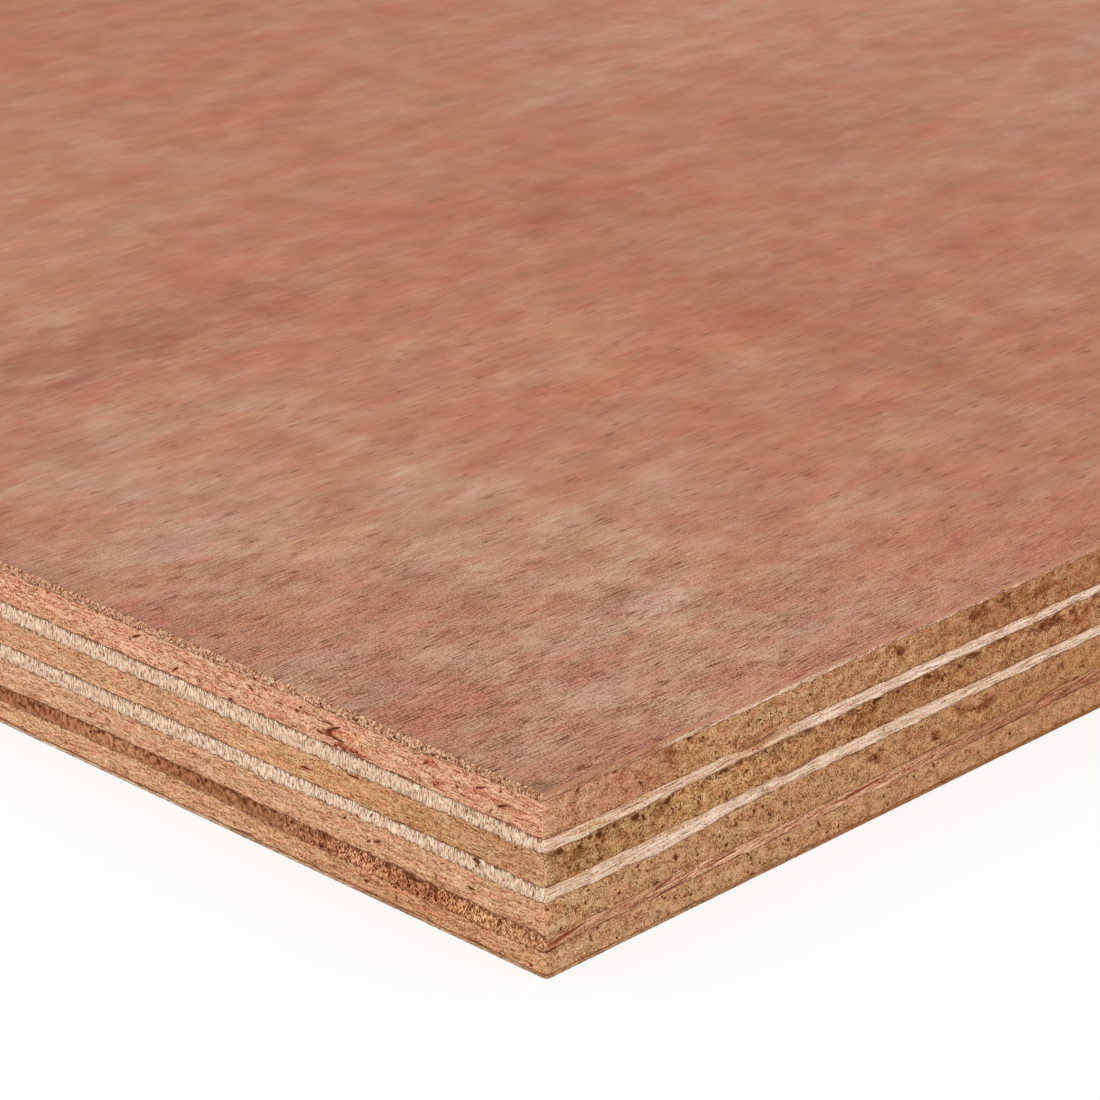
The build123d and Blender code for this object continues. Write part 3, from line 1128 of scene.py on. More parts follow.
def fuzzy_ends(name, seed, dark, middle, light, gap_and_shade=(122, 82, 52), tints=(), top_shade=0.9, rib=(0.13, 0.7),
               foot_shade=0.4, contrast=0.92):
    """Fibres that were cut across and dragged upright, on the short end."""
    mix = Finish(name, seed, "short")
    ribs = mix.noise(rib, 2.0, 0.7, 0.3, turn=0.05)
    clumps = mix.noise((0.7, 0.8), 3.0, 0.65)
    tone = mix.blend(ribs, clumps, 0.26)
    colour = mix.ramp(tone, (
        (0.5 - 0.15 / contrast, gap_and_shade), (0.5 - 0.08 / contrast, dark), (0.5 - 0.01 / contrast, middle),
        (0.5 + 0.06 / contrast, light), (0.5 + 0.15 / contrast, paler(light, 0.5)),
    ))
    hue = mix.noise((1.4, 0.9), 3.0, 0.7)
    colour = mix.hued(colour, hue, middle, 7, -5)
    colour = mix.drifting(colour, middle, tints)
    pores = mix.spots((0.5, 0.5), 0.2, 0.3)
    colour = mix.mixed(mix.times(pores, 0.65), colour, gap_and_shade)
    ragged = mix.arithmetic("ADD", mix.attribute("share"), mix.swing(ribs, -RIB_SWING))
    colour = mix.mixed(mix.times(mix.level(ragged, 0.86, 1.0), top_shade), colour, gap_and_shade)
    colour = mix.mixed(mix.times(mix.level(ragged, 0.12, 0.0), foot_shade), colour, dark)
    # Painted shade: the gap tone where the saw tore the wall deep, and in splits and pits a dark tone, partly
    # darker wood and partly painted shade.
    colour = mix.shade_painted_in_hollows(colour, gap_and_shade, SPLIT_FUZZ_AND_SHADE, clumps, 0.24, 0.45)
    return mix.done(colour, relief=tone, relief_depth=0.2)


# %% [markdown]
# ## Long plies on the long side: clean
#
# Along the fibres the same pale veneers are nearly smooth. Fine grey and pink lines follow the edge, and
# the upper margin is a little yellow where the glue has soaked in.

# %% Clean long grain
SOAKED = (200, 150, 102)


def clean_long_grain(name, seed, dark, middle, light, glue=(140, 92, 58), tints=(), lean=0.02, seams=0.6,
                     patches=(), arris=None):
    """A cut along the fibres, on the long side."""
    mix = Finish(name, seed, "long")
    strands = mix.noise((3.0, 0.22), 3.0, 0.65, 0.5, turn=lean)
    grit = mix.noise((0.3, 0.13), 2.0, 0.7)
    tone = mix.blend(strands, grit, 0.42)
    colour = mix.ramp(tone, (
        (0.36, glue), (0.43, dark), (0.5, middle), (0.56, light), (0.63, paler(light)),
    ))
    hue = mix.noise((2.5, 0.5), 3.0, 0.7)
    colour = mix.hued(colour, hue, middle, 7, -5)
    colour = mix.drifting(colour, middle, tints)
    colour = mix.patched(colour, middle, patches, grit)
    margin = mix.times(mix.level(mix.attribute("share"), 0.66, 0.95), mix.level(hue, 0.48, 0.6))
    colour = mix.mixed(mix.times(margin, 0.55), colour, SOAKED)
    if arris:
        sanded = mix.arithmetic("ADD", mix.attribute("share"), mix.swing(strands, 1.0))
        colour = mix.mixed(mix.level(sanded, 0.6, 0.85, 0.95), colour, arris)
    seam = mix.level(mix.attribute("share"), 0.16, 0.0)
    colour = mix.mixed(mix.times(seam, mix.level(strands, 0.56, 0.42), seams), colour, glue)
    # Painted shade: the glue tone where the saw tore the wall deep, and in splits and pits, there partly
    # darker wood and partly painted shade.
    colour = mix.mixed(mix.level(mix.attribute("torn"), 0.2, 0.4), colour, glue)
    colour = mix.mixed(mix.times(mix.marked(grit), 0.9), colour, glue)
    return mix.done(colour, relief=tone, relief_depth=0.1)


# %% [markdown]
# ## The matted red veneer
#
# The lowest long ply is another wood, red and coarse. On the short end its fibres lie matted over each
# other, tan strands over nearly black gaps. Two stretched noises, leaning opposite ways, weave such a mat.
# Further from the corner the saw has smeared it to a dull brown band.

# %% Matted ends
STRAND_LEAN = math.radians(32)
SMEARED_FROM, SMEARED_TO = 31.0, 41.0
COARSE_FROM = 10.0
RED_MIDDLE = (168, 113, 76)
# Painted shade towards the top of the band, under the veneer above, in ragged blotches.
PAINTED_TOP_SHADE, TOP_SHADE_SWING = (96, 48, 20), 2.2
PALE_FOOT = (196, 142, 100)
# Painted shade where the saw tore the wall deep, and a dark tone in splits and pits, partly darker wood and
# partly painted shade.
TORN_RED_SHADE, SPLIT_RED_AND_SHADE = (70, 32, 16), (88, 40, 12)


def matted_ends(name, seed):
    """Coarse red fibres, cut across, that lie crossed over each other."""
    mix = Finish(name, seed, "short")
    strands = [mix.noise((0.14, 0.6), 1.0, 0.6, 0.3, turn=lean) for lean in (STRAND_LEAN, -STRAND_LEAN)]
    mat = mix.blend(mix.arithmetic("MAXIMUM", *strands), mix.noise((0.9, 0.8), 3.0, 0.65), 0.3)
    colour = mix.ramp(mat, (
        (0.46, (70, 26, 8)), (0.525, (142, 82, 46)), (0.57, (188, 132, 92)), (0.65, (216, 166, 128)),
    ))
    smear = mix.noise((0.55, 0.7), 3.0, 0.65, 0.4)
    dull = mix.ramp(smear, ((0.34, (112, 58, 30)), (0.5, RED_MIDDLE), (0.66, (196, 142, 104))))
    smeared = mix.level(mix.along, SMEARED_FROM, SMEARED_TO)
    colour = mix.mixed(smeared, colour, dull)
    colour = mix.mixed(mix.level(mix.along, COARSE_FROM, 0.0, 0.3), colour, dull)
    colour = mix.drifting(colour, RED_MIDDLE, (
        (0, (192, 135, 91)), (7, (196, 139, 93)), (12, (188, 125, 79)), (14, (173, 108, 68)),
        (20, (170, 108, 70)), (23, (194, 132, 92)), (27, (188, 126, 86)), (29, (158, 97, 61)),
        (34, (167, 110, 71)), (40, (158, 103, 65)), (54, (161, 102, 65)), (58, (182, 127, 85)),
        (64, (176, 118, 78)), (70, (160, 101, 65)),
    ))
    height = mix.attribute("share")
    shaded_top = mix.arithmetic("ADD", height, mix.swing(smear, -TOP_SHADE_SWING))
    # Painted shade: darker in ragged blotches towards the top of the band, under the veneer above.
    colour = mix.mixed(mix.level(shaded_top, 0.72, 1.15, 0.85), colour, PAINTED_TOP_SHADE)
    colour = mix.mixed(mix.times(mix.level(height, 0.3, 0.0), smeared, 0.6), colour, PALE_FOOT)
    # Painted shade: a nearly black red where the saw tore the wall deep, and in splits and pits a dark red,
    # partly darker wood and partly painted shade.
    colour = mix.shade_painted_in_hollows(colour, TORN_RED_SHADE, SPLIT_RED_AND_SHADE, strands[0], 0.25, 0.55)
    return mix.done(colour, relief=mat, relief_depth=0.2)


# %% [markdown]
# ## The faces
#
# Both outer veneers are peeled and then sanded. The knife opens pores lengthwise, so they show as short,
# fine, dark red dashes. Between them the tone drifts in clouds from beige to red, and faint pale bands
# cross the grain where the press held the veneer. Hands and damp have raised the grain at the corners, so
# it is crisp there and calmer further in.
#
# Seen whole, a peeled face shows a broad figure of nested flames, because the knife cut through the same
# growth rings again and again. Level curves of one slow, drawn-out noise make such flames: its sine rises
# and falls many times while the noise itself climbs once.

# %% Sanded face
FACE_REACH = 300.0
SAWN_RIM = 1.4
RAISED_TO, SMOOTH_FROM = 20.0, 130.0
STREAKY_TO, CLOUDY_FROM = 120.0, 320.0
FLAMES_FROM, FLAMES_TO = 280.0, 620.0
FLAME_COUNT = 75.0
RING_STRENGTH = 0.07
BUNDLE_HUE_REACH = 0.2
ORANGE = (1, 0, -4)
PRESS_BAND = (204, 166, 142)
RIM_BROWN = (150, 112, 80)
DARK_FLAME, PALE_FLAME = (160, 103, 79), (201, 148, 121)
FIGURE = (
    ((50, 118), (26, 9), (166, 107, 83)),
    ((118, 118), (11, 11), (171, 113, 87)),
    ((107, 66), (8, 38), (175, 117, 90)),
    ((168, 116), (14, 10), (173, 115, 88)),
    ((198, 158), (40, 18), (187, 131, 104)),
    ((85, 80), (20, 24), (184, 127, 98)),
    ((20, 76), (16, 26), (186, 131, 105)),
    ((188, 104), (9, 6), (185, 130, 103)),
    ((45, 84), (3.0, 18), (185, 130, 104)),
    ((46, 44), (3.6, 22), (186, 132, 105)),
    ((15.5, 19), (3.4, 14), (187, 135, 108)),
    ((37.5, 22.5), (5, 3.5), (188, 136, 111)),
    ((66, 22), (8, 5), (186, 132, 106)),
    ((0, 0), (5, 2.5), (156, 112, 80)),
)


def sanded_face(name, seed, dark, middle, light, dash=(112, 56, 38), red=(181, 117, 92),
                beige=(185, 134, 108), tints=(), figure=()):
    """Peeled and sanded veneer with its grain along x."""
    mix = Finish(name, seed, "face")
    inland = mix.from_corner()
    raised = mix.level(inland, SMOOTH_FROM, RAISED_TO)
    streaky = mix.level(inland, CLOUDY_FROM, STREAKY_TO)
    some = mix.arithmetic("MULTIPLY_ADD", raised, 0.3, 0.55)
    threads = mix.noise((2.6, 0.14), 1.0, 0.7, turn=0.012)
    grit = mix.noise((0.28, 0.2), 1.0, 0.7)
    strands = mix.noise((5.0, 0.8), 2.0, 0.55, turn=0.02)
    clouds = mix.noise((9.0, 5.0), 3.0, 0.66)
    fine = mix.calmed(mix.blend(threads, grit, 0.5), mix.arithmetic("MULTIPLY_ADD", raised, 1.42, 0.02))
    less_near = mix.arithmetic("MULTIPLY_ADD", raised, -0.62, 0.07)
    strands = mix.calmed(strands, mix.arithmetic("MULTIPLY_ADD", streaky, 0.64, less_near))
    tone = mix.blend(mix.blend(fine, strands, 0.16), mix.calmed(clouds, some), 0.235)
    colour = mix.ramp(tone, ((0.36, dash), (0.42, dark), (0.5, middle), (0.58, light)))
    hue = mix.blend(mix.noise((20.0, 12.0), 3.0, 0.6), mix.noise((190.0, 40.0), 1.0), 0.3)
    colour = mix.tinted(colour, mix.calmed(hue, some), middle, ((0.38, beige), (0.5, middle), (0.62, red)))
    bundle_hue = mix.calmed(mix.noise((7.0, 2.0), 2.0, 0.5), some)
    colour = mix.hued(colour, bundle_hue, middle, -4, 6, BUNDLE_HUE_REACH)
    colour = mix.tinted(colour, mix.noise((18.0, 9.0), 3.0, 0.6), middle, (
        (0.3, [part + step for part, step in zip(middle, ORANGE)]), (0.5, middle),
        (0.7, [part - step for part, step in zip(middle, ORANGE)]),
    ))
    growth = mix.noise((1100.0, 130.0), 3.0, 0.42, turn=0.01)
    rings = mix.arithmetic("SINE", mix.arithmetic("MULTIPLY", growth, FLAME_COUNT))
    flames = mix.arithmetic("MULTIPLY_ADD", rings, RING_STRENGTH, growth)
    flames = mix.calmed(flames, mix.level(inland, FLAMES_FROM, FLAMES_TO))
    colour = mix.tinted(colour, flames, middle, ((0.3, DARK_FLAME), (0.5, middle), (0.7, PALE_FLAME)))
    colour = mix.drifting(colour, middle, tints, FACE_REACH)
    drawn_out = mix.noise((7.0, 3.0), 3.0, 0.68)
    colour = mix.patched(colour, middle, figure, drawn_out)
    bands = mix.level(mix.noise((6.0, 50.0), 2.0, 0.5), 0.52, 0.7)
    colour = mix.mixed(mix.times(bands, some, 0.12), colour, PRESS_BAND)
    ragged_rim = mix.arithmetic("MULTIPLY_ADD", threads, 2.0, mix.along)
    colour = mix.mixed(mix.level(ragged_rim, 1.0 + SAWN_RIM, 1.0, 0.5), colour, RIM_BROWN)
    open_pores = mix.level(mix.noise((3.0, 0.2), 1.0, 0.5), 0.63, 0.69)
    where_open = mix.level(drawn_out, 0.47, 0.57)
    seen = mix.arithmetic("MULTIPLY_ADD", streaky, 0.58, mix.times(raised, 0.38))
    colour = mix.mixed(mix.times(open_pores, where_open, seen), colour, dash)
    return mix.done(colour, roughness=0.7, relief=threads, relief_depth=0.04)


# %% [markdown]
# ## Glued faces
#
# Between two veneers nothing shows but a thin step of glued wood, where one was torn back further than the
# other.

# %% Glued face
def glued_face():
    """The brown of dried glue on wood, for faces that only show as a thin ledge."""
    mix = Finish("glued_face", 400, "face")
    streaks = mix.noise((2.0, 2.0), 3.0)
    return mix.done(mix.ramp(streaks, ((0.4, (140, 96, 64)), (0.6, (186, 138, 102)))))


glued = glued_face()
print("finish:", glued.name)


# %% [markdown]
# ## Mixing the finishes
#
# One set of three tones for each veneer and side: the dark, the middle and the light one. Where the tone
# drifts near the corner in view, a few more tones follow, each with its distance from the corner.

# %% Short end finishes
short_finish = {
    "back_veneer": torn_long_grain(
        "back_short", 10, (150, 112, 80), (176, 136, 104), (198, 154, 120),
        tints=((0, (175, 137, 105)), (25, (182, 144, 113)), (50, (195, 164, 138))),
    ),
    "cross_ply_4": torn_long_grain(
        "cross_4_short", 20, (164, 108, 70), (198, 144, 104), (218, 164, 125),
        tints=((0, (204, 151, 108)), (18, (198, 142, 99)), (30, (201, 150, 107)), (50, (209, 158, 115))),
    ),
    "long_ply_3": matted_ends("long_3_short", 30),
    "cross_ply_3": torn_long_grain(
        "cross_3_short", 40, (172, 120, 82), (203, 152, 113), (221, 171, 133),
        tints=((0, (209, 157, 116)), (50, (208, 156, 117)), (70, (213, 162, 123))),
    ),
    "long_ply_2": fuzzy_ends(
        "long_2_short", 50, (178, 138, 104), (226, 192, 163), (248, 220, 194),
        tints=(
            (0, (226, 192, 163)), (12, (226, 192, 163)), (18, (233, 199, 171)), (46, (233, 199, 171)),
            (60, (228, 194, 165)),
        ),
    ),
    "cross_ply_2": torn_long_grain(
        "cross_2_short", 60, (168, 118, 76), (199, 147, 106), (217, 167, 127),
        tints=((0, (195, 142, 99)), (12, (193, 141, 97)), (25, (205, 150, 104)), (50, (208, 155, 113))),
    ),
    "long_ply_1": fuzzy_ends(
        "long_1_short", 70, (182, 142, 108), (226, 192, 164), (248, 220, 194),
        tints=((0, (225, 190, 161)), (28, (226, 192, 164)), (38, (230, 195, 167)), (52, (228, 192, 164))),
    ),
    "cross_ply_1": torn_long_grain(
        "cross_1_short", 80, (172, 110, 76), (208, 151, 117), (230, 176, 143),
        patches=(
            ((25.8, 15.5), (2.4, 0.6), (212, 146, 104)), ((27.9, 15.2), (0.8, 0.4), (150, 80, 48)),
            ((23.4, 15.4), (1.2, 0.4), (220, 174, 132)), ((25.2, 14.15), (2.2, 0.25), (170, 98, 68)),
            ((21.0, 16.4), (3.5, 0.6), (216, 162, 128)), ((8.1, 15.7), (1.5, 0.35), (206, 128, 98)),
            ((14.2, 16.5), (1.0, 0.4), (196, 118, 88)), ((13.6, 14.6), (0.9, 0.4), (190, 116, 84)),
            ((4.0, 15.1), (3.0, 0.5), (202, 142, 102)), ((40.0, 16.2), (3.5, 0.4), (218, 164, 130)),
            ((55.0, 14.8), (5.0, 0.5), (220, 166, 130)),
        ),
        tints=((0, (210, 153, 118)), (50, (212, 155, 120)), (70, (215, 157, 120))),
    ),
    "face_veneer": fuzzy_ends(
        "face_short", 90, (150, 94, 62), (190, 136, 103), (222, 172, 140), (96, 50, 28), top_shade=0,
        foot_shade=0, rib=(0.22, 0.3), contrast=1.3,
        tints=((0, (188, 135, 98)), (14, (189, 136, 101)), (40, (190, 135, 102)), (62, (183, 127, 94))),
    ),
}
print(f"short end finishes: {len(short_finish)}")

# %% Long side finishes
long_finish = {
    "back_veneer": cut_pores(
        "back_long", 110, (134, 96, 66), (156, 116, 86), (178, 138, 106),
        tints=(
            (0, (178, 134, 97)), (12, (175, 131, 94)), (22, (160, 114, 75)), (50, (154, 100, 56)),
            (70, (151, 94, 44)),
        ),
    ),
    "cross_ply_4": cut_pores(
        "cross_4_long", 120, (158, 106, 66), (189, 141, 100), (208, 160, 120), crowding=0.4,
        tints=((0, (194, 147, 106)), (20, (192, 145, 103)), (70, (187, 137, 95))),
    ),
    "long_ply_3": clean_long_grain(
        "long_3_long", 130, (150, 92, 60), (189, 140, 106), (218, 172, 138), (128, 56, 34), lean=0.1,
        seams=1.0,
        tints=(
            (0, (175, 124, 87)), (14, (182, 132, 96)), (20, (200, 152, 115)), (50, (185, 134, 97)),
            (62, (164, 109, 74)),
        ),
    ),
    "cross_ply_3": cut_pores(
        "cross_3_long", 140, (152, 100, 58), (188, 140, 98), (208, 160, 118),
        tints=((0, (194, 148, 105)), (14, (190, 143, 100)), (40, (187, 138, 95)), (65, (179, 127, 83))),
        patches=(
            ((43.8, 6.4), (1.2, 0.8), (160, 108, 68)), ((52.6, 5.6), (1.0, 0.7), (158, 104, 64)),
            ((56.8, 6.8), (1.4, 0.6), (150, 98, 58)), ((60.0, 6.4), (1.4, 0.7), (142, 86, 48)),
        ),
    ),
    "long_ply_2": clean_long_grain(
        "long_2_long", 150, (188, 150, 120), (214, 180, 152), (231, 201, 177),
        tints=((0, (213, 177, 146)), (16, (221, 190, 165)), (35, (219, 186, 159))),
        patches=(
            ((4.4, 8.75), (1.3, 0.3), (196, 150, 104)), ((16.6, 8.75), (1.7, 0.35), (180, 136, 88)),
            ((29.5, 8.3), (2.5, 0.25), (198, 154, 114)), ((10.0, 7.4), (2.5, 0.2), (196, 156, 124)),
        ),
    ),
    "cross_ply_2": cut_pores(
        "cross_2_long", 160, (142, 90, 48), (175, 126, 84), (204, 158, 114), top_shade=0.6, crowding=0.6,
        tints=(
            (0, (187, 142, 100)), (2, (169, 122, 77)), (14, (173, 125, 80)), (18, (190, 140, 93)),
            (30, (180, 129, 84)), (46, (170, 118, 74)), (70, (175, 122, 80)),
        ),
        patches=(
            ((4.2, 11.0), (2.0, 0.7), (152, 102, 60)), ((14.6, 11.2), (1.2, 0.7), (152, 102, 60)),
            ((42.0, 10.9), (2.6, 0.8), (156, 104, 62)), ((52.5, 11.6), (2.2, 0.6), (152, 102, 60)),
            ((57.6, 12.3), (1.8, 0.5), (124, 74, 40)), ((69.5, 12.0), (3.2, 0.6), (128, 74, 42)),
            ((75.0, 11.0), (2.0, 0.9), (150, 92, 52)),
        ),
    ),
    "long_ply_1": clean_long_grain(
        "long_1_long", 170, (182, 140, 110), (212, 177, 149), (228, 197, 172),
        tints=(
            (0, (217, 182, 155)), (22, (217, 182, 152)), (25, (209, 167, 130)), (31, (212, 171, 136)),
            (35, (225, 194, 170)), (60, (222, 189, 164)),
        ),
        patches=(
            ((6.2, 12.95), (2.2, 0.45), (192, 146, 98)), ((27.5, 13.5), (3.8, 0.4), (180, 130, 88)),
            ((12.6, 13.45), (1.6, 0.25), (194, 150, 112)), ((19.0, 12.7), (2.0, 0.2), (192, 150, 116)),
        ),
    ),
    "cross_ply_1": cut_pores(
        "cross_1_long", 180, (148, 94, 54), (179, 130, 91), (205, 158, 118), crowding=0.4, smooth_to=15.0,
        tints=(
            (0, (187, 137, 99)), (8, (181, 126, 93)), (14, (179, 124, 89)), (18, (181, 131, 86)),
            (24, (188, 139, 96)), (48, (180, 129, 87)), (60, (168, 114, 74)),
        ),
        patches=(
            ((16.0, 16.1), (1.2, 1.2), (158, 103, 68)), ((26.2, 14.4), (2.0, 0.5), (154, 100, 62)),
            ((47.2, 16.4), (1.2, 0.8), (146, 92, 56)), ((58.8, 16.6), (1.8, 0.8), (138, 84, 46)),
            ((63.0, 16.6), (1.0, 0.8), (130, 74, 42)), ((68.0, 16.1), (2.2, 0.8), (152, 98, 58)),
        ),
    ),
    "face_veneer": clean_long_grain(
        "face_long", 190, (166, 122, 94), (200, 161, 133), (224, 190, 164), arris=(180, 124, 98),
        tints=(
            (0, (177, 126, 95)), (14, (180, 130, 98)), (17, (200, 161, 132)), (34, (216, 175, 149)),
            (50, (208, 160, 131)), (80, (203, 149, 113)),
        ),
    ),
}
print(f"long side finishes: {len(long_finish)}")

# %% Face finishes
open_finish = {
    "back_veneer": sanded_face("back_face", 210, (150, 96, 70), (174, 118, 90), (192, 140, 112)),
    "face_veneer": sanded_face(
        "upper_face", 200, (154, 98, 72), (181, 124, 97), (204, 152, 126), figure=FIGURE,
        tints=(
            (0, (178, 121, 95)), (40, (183, 129, 102)), (60, (181, 122, 95)), (120, (177, 117, 90)),
            (170, (177, 119, 94)), (260, (179, 122, 98)),
        ),
    ),
}
print(f"face finishes: {len(open_finish)}")

# %% [markdown]
# ## Cutting the nine veneers
#
# Each veneer is meshed, given its attributes, and run through the saw cut tree. The tree's result is turned
# into a plain mesh, so that nothing has to be worked out again when the sheet is used elsewhere.
#
# Along the fibres a grain is long, and across them it is thin. The thick cross plies run along y, so their
# flakes are long in y, and the long plies are the other way about.

# %% Cut the veneers
SAW = {
    kind: {"Fibre Size": fibre, "Flake Size": flake, "Fuzz": fuzz, "Tear": tear}
    for kind, fibre, flake, fuzz, tear in (
        ("back_veneer", (3.0, 0.4, 0.3), (3.0, 0.6, 0.5), 0.03, 0.03),
        ("cross", (0.35, 2.2, 0.35), (0.7, 3.5, 0.6), 0.14, 0.12),
        ("long", (3.0, 0.3, 0.8), (3.0, 0.45, 0.6), 0.16, 0.12),
        ("face_veneer", (0.8, 0.35, 0.3), (2.0, 0.5, 0.4), 0.12, 0.12),
    )
}
GLUE_LINE_DEPTH = 0.05
SPLIT_DEPTH = 0.2
LEAST_FINENESS = 0.15
HALFWAY = 0.5


def measured_mesh(name):
    """The mesh of one veneer, with what the tree and the finishes have to know about each place on it."""
    points, quads, triangles, facing, shares, row_count = veneer_mesh(name)
    mesh = bpy.data.meshes.new(name + "_sawn")
    fill_mesh(mesh, points, quads, triangles)
    rest = len(points) - len(shares)
    directions = np.tile(np.column_stack([inward, np.zeros(len(inward))]), (row_count, 1))
    fine = np.tile(LEAST_FINENESS + (1 - LEAST_FINENESS) * fineness, row_count)
    store(mesh, "inward", "FLOAT_VECTOR", "POINT", np.concatenate([directions, np.zeros((rest, 3))]))
    store(mesh, "share", "FLOAT", "POINT", np.concatenate([shares, np.full(rest, HALFWAY)]))
    store(mesh, "fine", "FLOAT", "POINT", np.concatenate([fine, np.zeros(rest)]))
    store(mesh, "mark", "FLOAT", "POINT", mark_depth(name, points, row_count))
    store(mesh, "facing", "INT", "FACE", facing.astype(np.int32))
    mesh.polygons.foreach_set("use_smooth", (facing == SHORT_END) | (facing == LONG_SIDE))
    return mesh


def cut_veneer(name, seed):
    """One finished veneer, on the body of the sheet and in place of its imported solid."""
    mesh = measured_mesh(name)
    finishes = {
        "Hidden Finish": glued, "Short End Finish": short_finish[name],
        "Long Side Finish": long_finish[name], "Open Face Finish": open_finish.get(name, glued),
    }
    for material in finishes.values():
        mesh.materials.append(material)
    kind = name if name in SAW else name.split("_")[0]
    depths = {"Glue Line": GLUE_LINE_DEPTH, "Split": SPLIT_DEPTH, "Seed": float(seed)}
    sawn = grown(name + "_wood", mesh, saw_cut, {**SAW[kind], **depths, **finishes})
    for spent in ("inward", "fine", "facing"):
        sawn.data.attributes.remove(sawn.data.attributes[spent])
    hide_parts(name)
    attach(sawn, "root")
    return sawn


for number, name in enumerate(VENEERS):
    veneer = cut_veneer(name, number)
    print(f"{veneer.name}: {len(veneer.data.polygons)} faces, {len(veneer.data.materials)} finishes")

# %% [markdown]
# ## The frayed arris
#
# The face veneer's fibres run off the short end, and the saw breaks them there instead of cutting them.
# Short stubs are left along the upper arris, thick near the corner in view and sparse further on. One stub
# is a small cone, and Geometry Nodes sets thousands of them along the line: where each one sits, how it
# leans and how long it is follow from one seed. Tips that would stand past the sheet's full size are
# pressed back to it.

# %% Frayed arris tree
STUB_SIDES = 4
STUB_TOP, STUB_BOTTOM = 0.1, 0.5
STUB_ROOT = 0.06
WIDTH_RANGE = (0.5, 1.3)
LENGTH_RANGE = (0.4, 1.0)
QUARTER_TURN = math.pi / 2
WHERE, ROUND, LEANING, SWINGING, WIDE, TALL = range(1, 7)


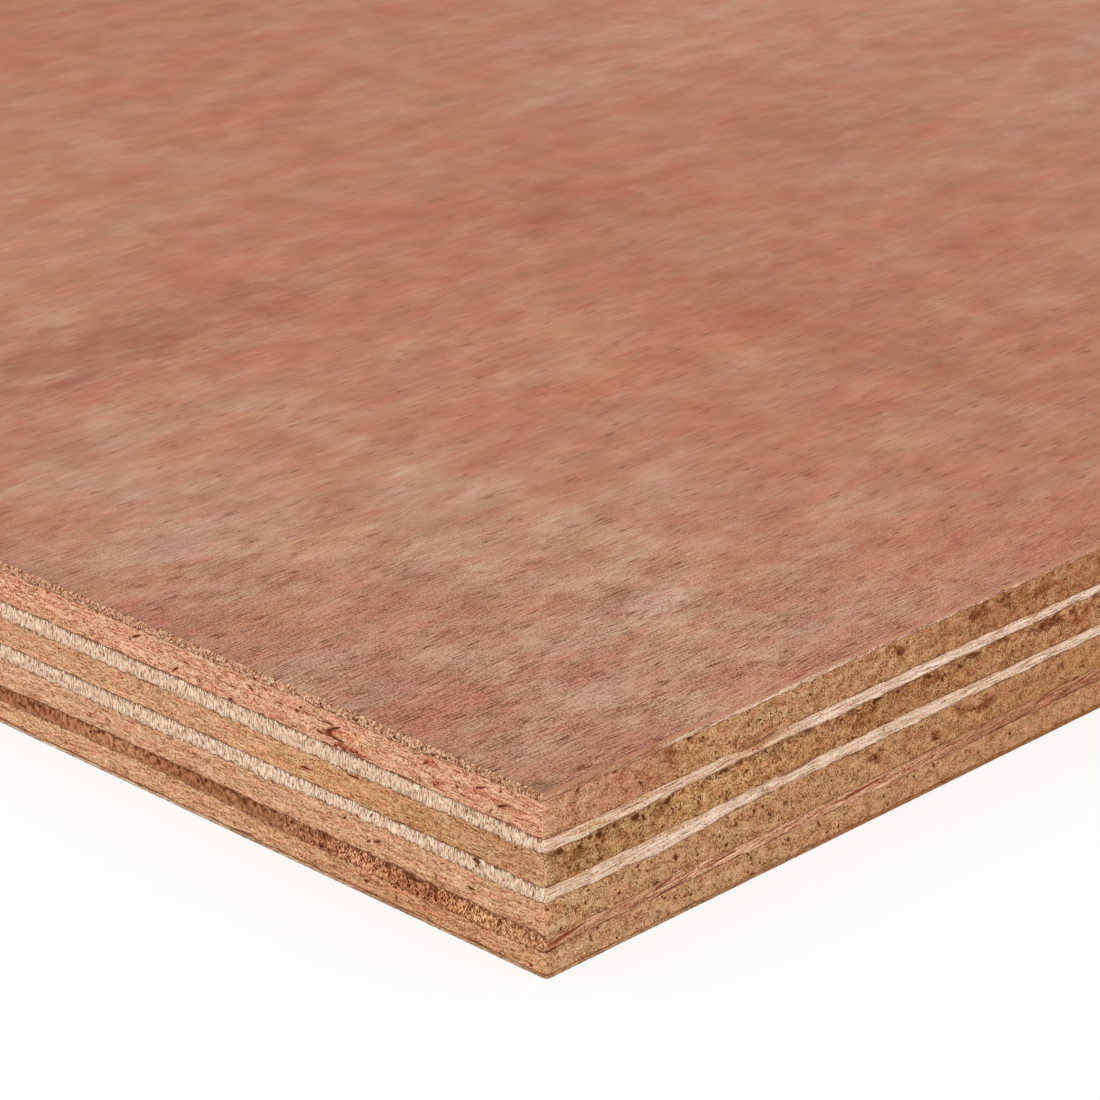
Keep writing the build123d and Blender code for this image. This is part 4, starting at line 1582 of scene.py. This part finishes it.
def frayed_arris_tree():
    """Stubs of fibre along the upper arris of the short end."""
    tree, given = open_tree("frayed_arris", (
        ("Stubs", "Int"), ("Length", "Float"), ("Width", "Float"), ("Lean", "Float"), ("Swing", "Float"),
        ("Towards Corner", "Float"), ("Seed", "Int"), ("Finish", "Material"),
    ))

    def work_out(operation, *values):
        return arithmetic(tree, operation, *values)

    def chance(low, high, salt):
        seed = work_out("ADD", given["Seed"], salt)
        draw = add(tree, "FunctionNodeRandomValue", {2: low, 3: high, "Seed": seed}, data_type="FLOAT")
        return draw.outputs[1]

    crowd = work_out("POWER", chance(0.0, 1.0, WHERE), given["Towards Corner"])
    along = work_out("MULTIPLY_ADD", crowd, 2 * half_width - 1.0, 0.5 - half_width)
    angle = chance(0.0, QUARTER_TURN, ROUND)
    root = UPPER_ARRIS - STUB_ROOT
    back = work_out("MULTIPLY_ADD", work_out("COSINE", angle), -root, UPPER_ARRIS - half_length)
    up = work_out("MULTIPLY_ADD", work_out("SINE", angle), root, sheet_top - UPPER_ARRIS)
    place = add(tree, "ShaderNodeCombineXYZ", {0: back, 1: along, 2: up}).outputs[0]
    places = add(tree, "GeometryNodePoints", {"Count": given["Stubs"], "Position": place}).outputs[0]
    stub = add(tree, "GeometryNodeMeshCone", {
        "Vertices": STUB_SIDES, "Side Segments": 1,
        "Radius Top": STUB_TOP, "Radius Bottom": STUB_BOTTOM, "Depth": 1.0,
    }, fill_type="NGON").outputs["Mesh"]
    lean = work_out("MULTIPLY", given["Lean"], chance(-1.0, 1.0, LEANING))
    pitch = work_out("ADD", work_out("ADD", angle, lean), -QUARTER_TURN)
    swing = work_out("MULTIPLY", given["Swing"], chance(-1.0, 1.0, SWINGING))
    turned = add(tree, "FunctionNodeEulerToRotation", {
        0: add(tree, "ShaderNodeCombineXYZ", {1: pitch, 2: swing}).outputs[0],
    }).outputs[0]
    wide = work_out("MULTIPLY", given["Width"], chance(*WIDTH_RANGE, WIDE))
    tall = work_out("MULTIPLY", given["Length"], chance(*LENGTH_RANGE, TALL))
    size = add(tree, "ShaderNodeCombineXYZ", {0: wide, 1: wide, 2: tall}).outputs[0]
    set_out = add(tree, "GeometryNodeInstanceOnPoints", {
        "Points": places, "Instance": stub, "Rotation": turned, "Scale": size,
    }).outputs[0]
    whole = add(tree, "GeometryNodeRealizeInstances", {"Geometry": set_out}).outputs[0]
    inside = add(tree, "GeometryNodeInputPosition").outputs[0]
    for limit, corner in (
        ("MAXIMUM", (-half_length, -half_width, 0.0)), ("MINIMUM", (half_length, half_width, sheet_top)),
    ):
        inside = add(tree, "ShaderNodeVectorMath", {0: inside, 1: corner}, operation=limit).outputs[0]
    metres = add(tree, "ShaderNodeVectorMath", {0: inside, 3: MM}, operation="SCALE").outputs[0]
    shaped = add(tree, "GeometryNodeSetPosition", {"Geometry": whole, "Position": metres}).outputs[0]
    finished = add(tree, "GeometryNodeSetMaterial", {
        "Geometry": shaped, "Material": given["Finish"],
    }).outputs[0]
    add(tree, "NodeGroupOutput", {"Geometry": finished})
    return tree


frayed_tree = frayed_arris_tree()
print("frayed arris tree:", len(frayed_tree.nodes), "nodes")

# %% Frayed arris
STUBS = 2000
STUB_LENGTH = 0.28
STUB_WIDTH = 0.09
STUB_LEAN = math.radians(32)
STUB_SWING = math.radians(38)
TOWARDS_CORNER = 3.2
STUB_SEED = 11


def frayed_finish():
    """Loose fibre ends in random tones: pale as a painted highlight, and brown as painted shade between them.
    """
    mix = Finish("frayed_fibres", 500, "short")
    colour = mix.ramp(mix.noise((0.14, 0.14), 1.0), (
        (0.36, (120, 66, 38)), (0.46, (178, 122, 88)), (0.54, (212, 160, 126)), (0.64, (238, 196, 164)),
    ))
    colour = mix.drifting(colour, (194, 141, 107), (
        (0, (188, 134, 98)), (20, (194, 141, 107)), (60, (192, 139, 106)),
    ))
    return mix.done(colour, roughness=0.9)


fringe = grown("frayed_arris", bpy.data.meshes.new("no_stubs"), frayed_tree, {
    "Stubs": STUBS, "Length": STUB_LENGTH, "Width": STUB_WIDTH, "Lean": STUB_LEAN, "Swing": STUB_SWING,
    "Towards Corner": TOWARDS_CORNER, "Seed": STUB_SEED, "Finish": frayed_finish(),
})
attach(fringe, "root")
print(f"{fringe.name}: {len(fringe.data.polygons)} faces on {STUBS} stubs")
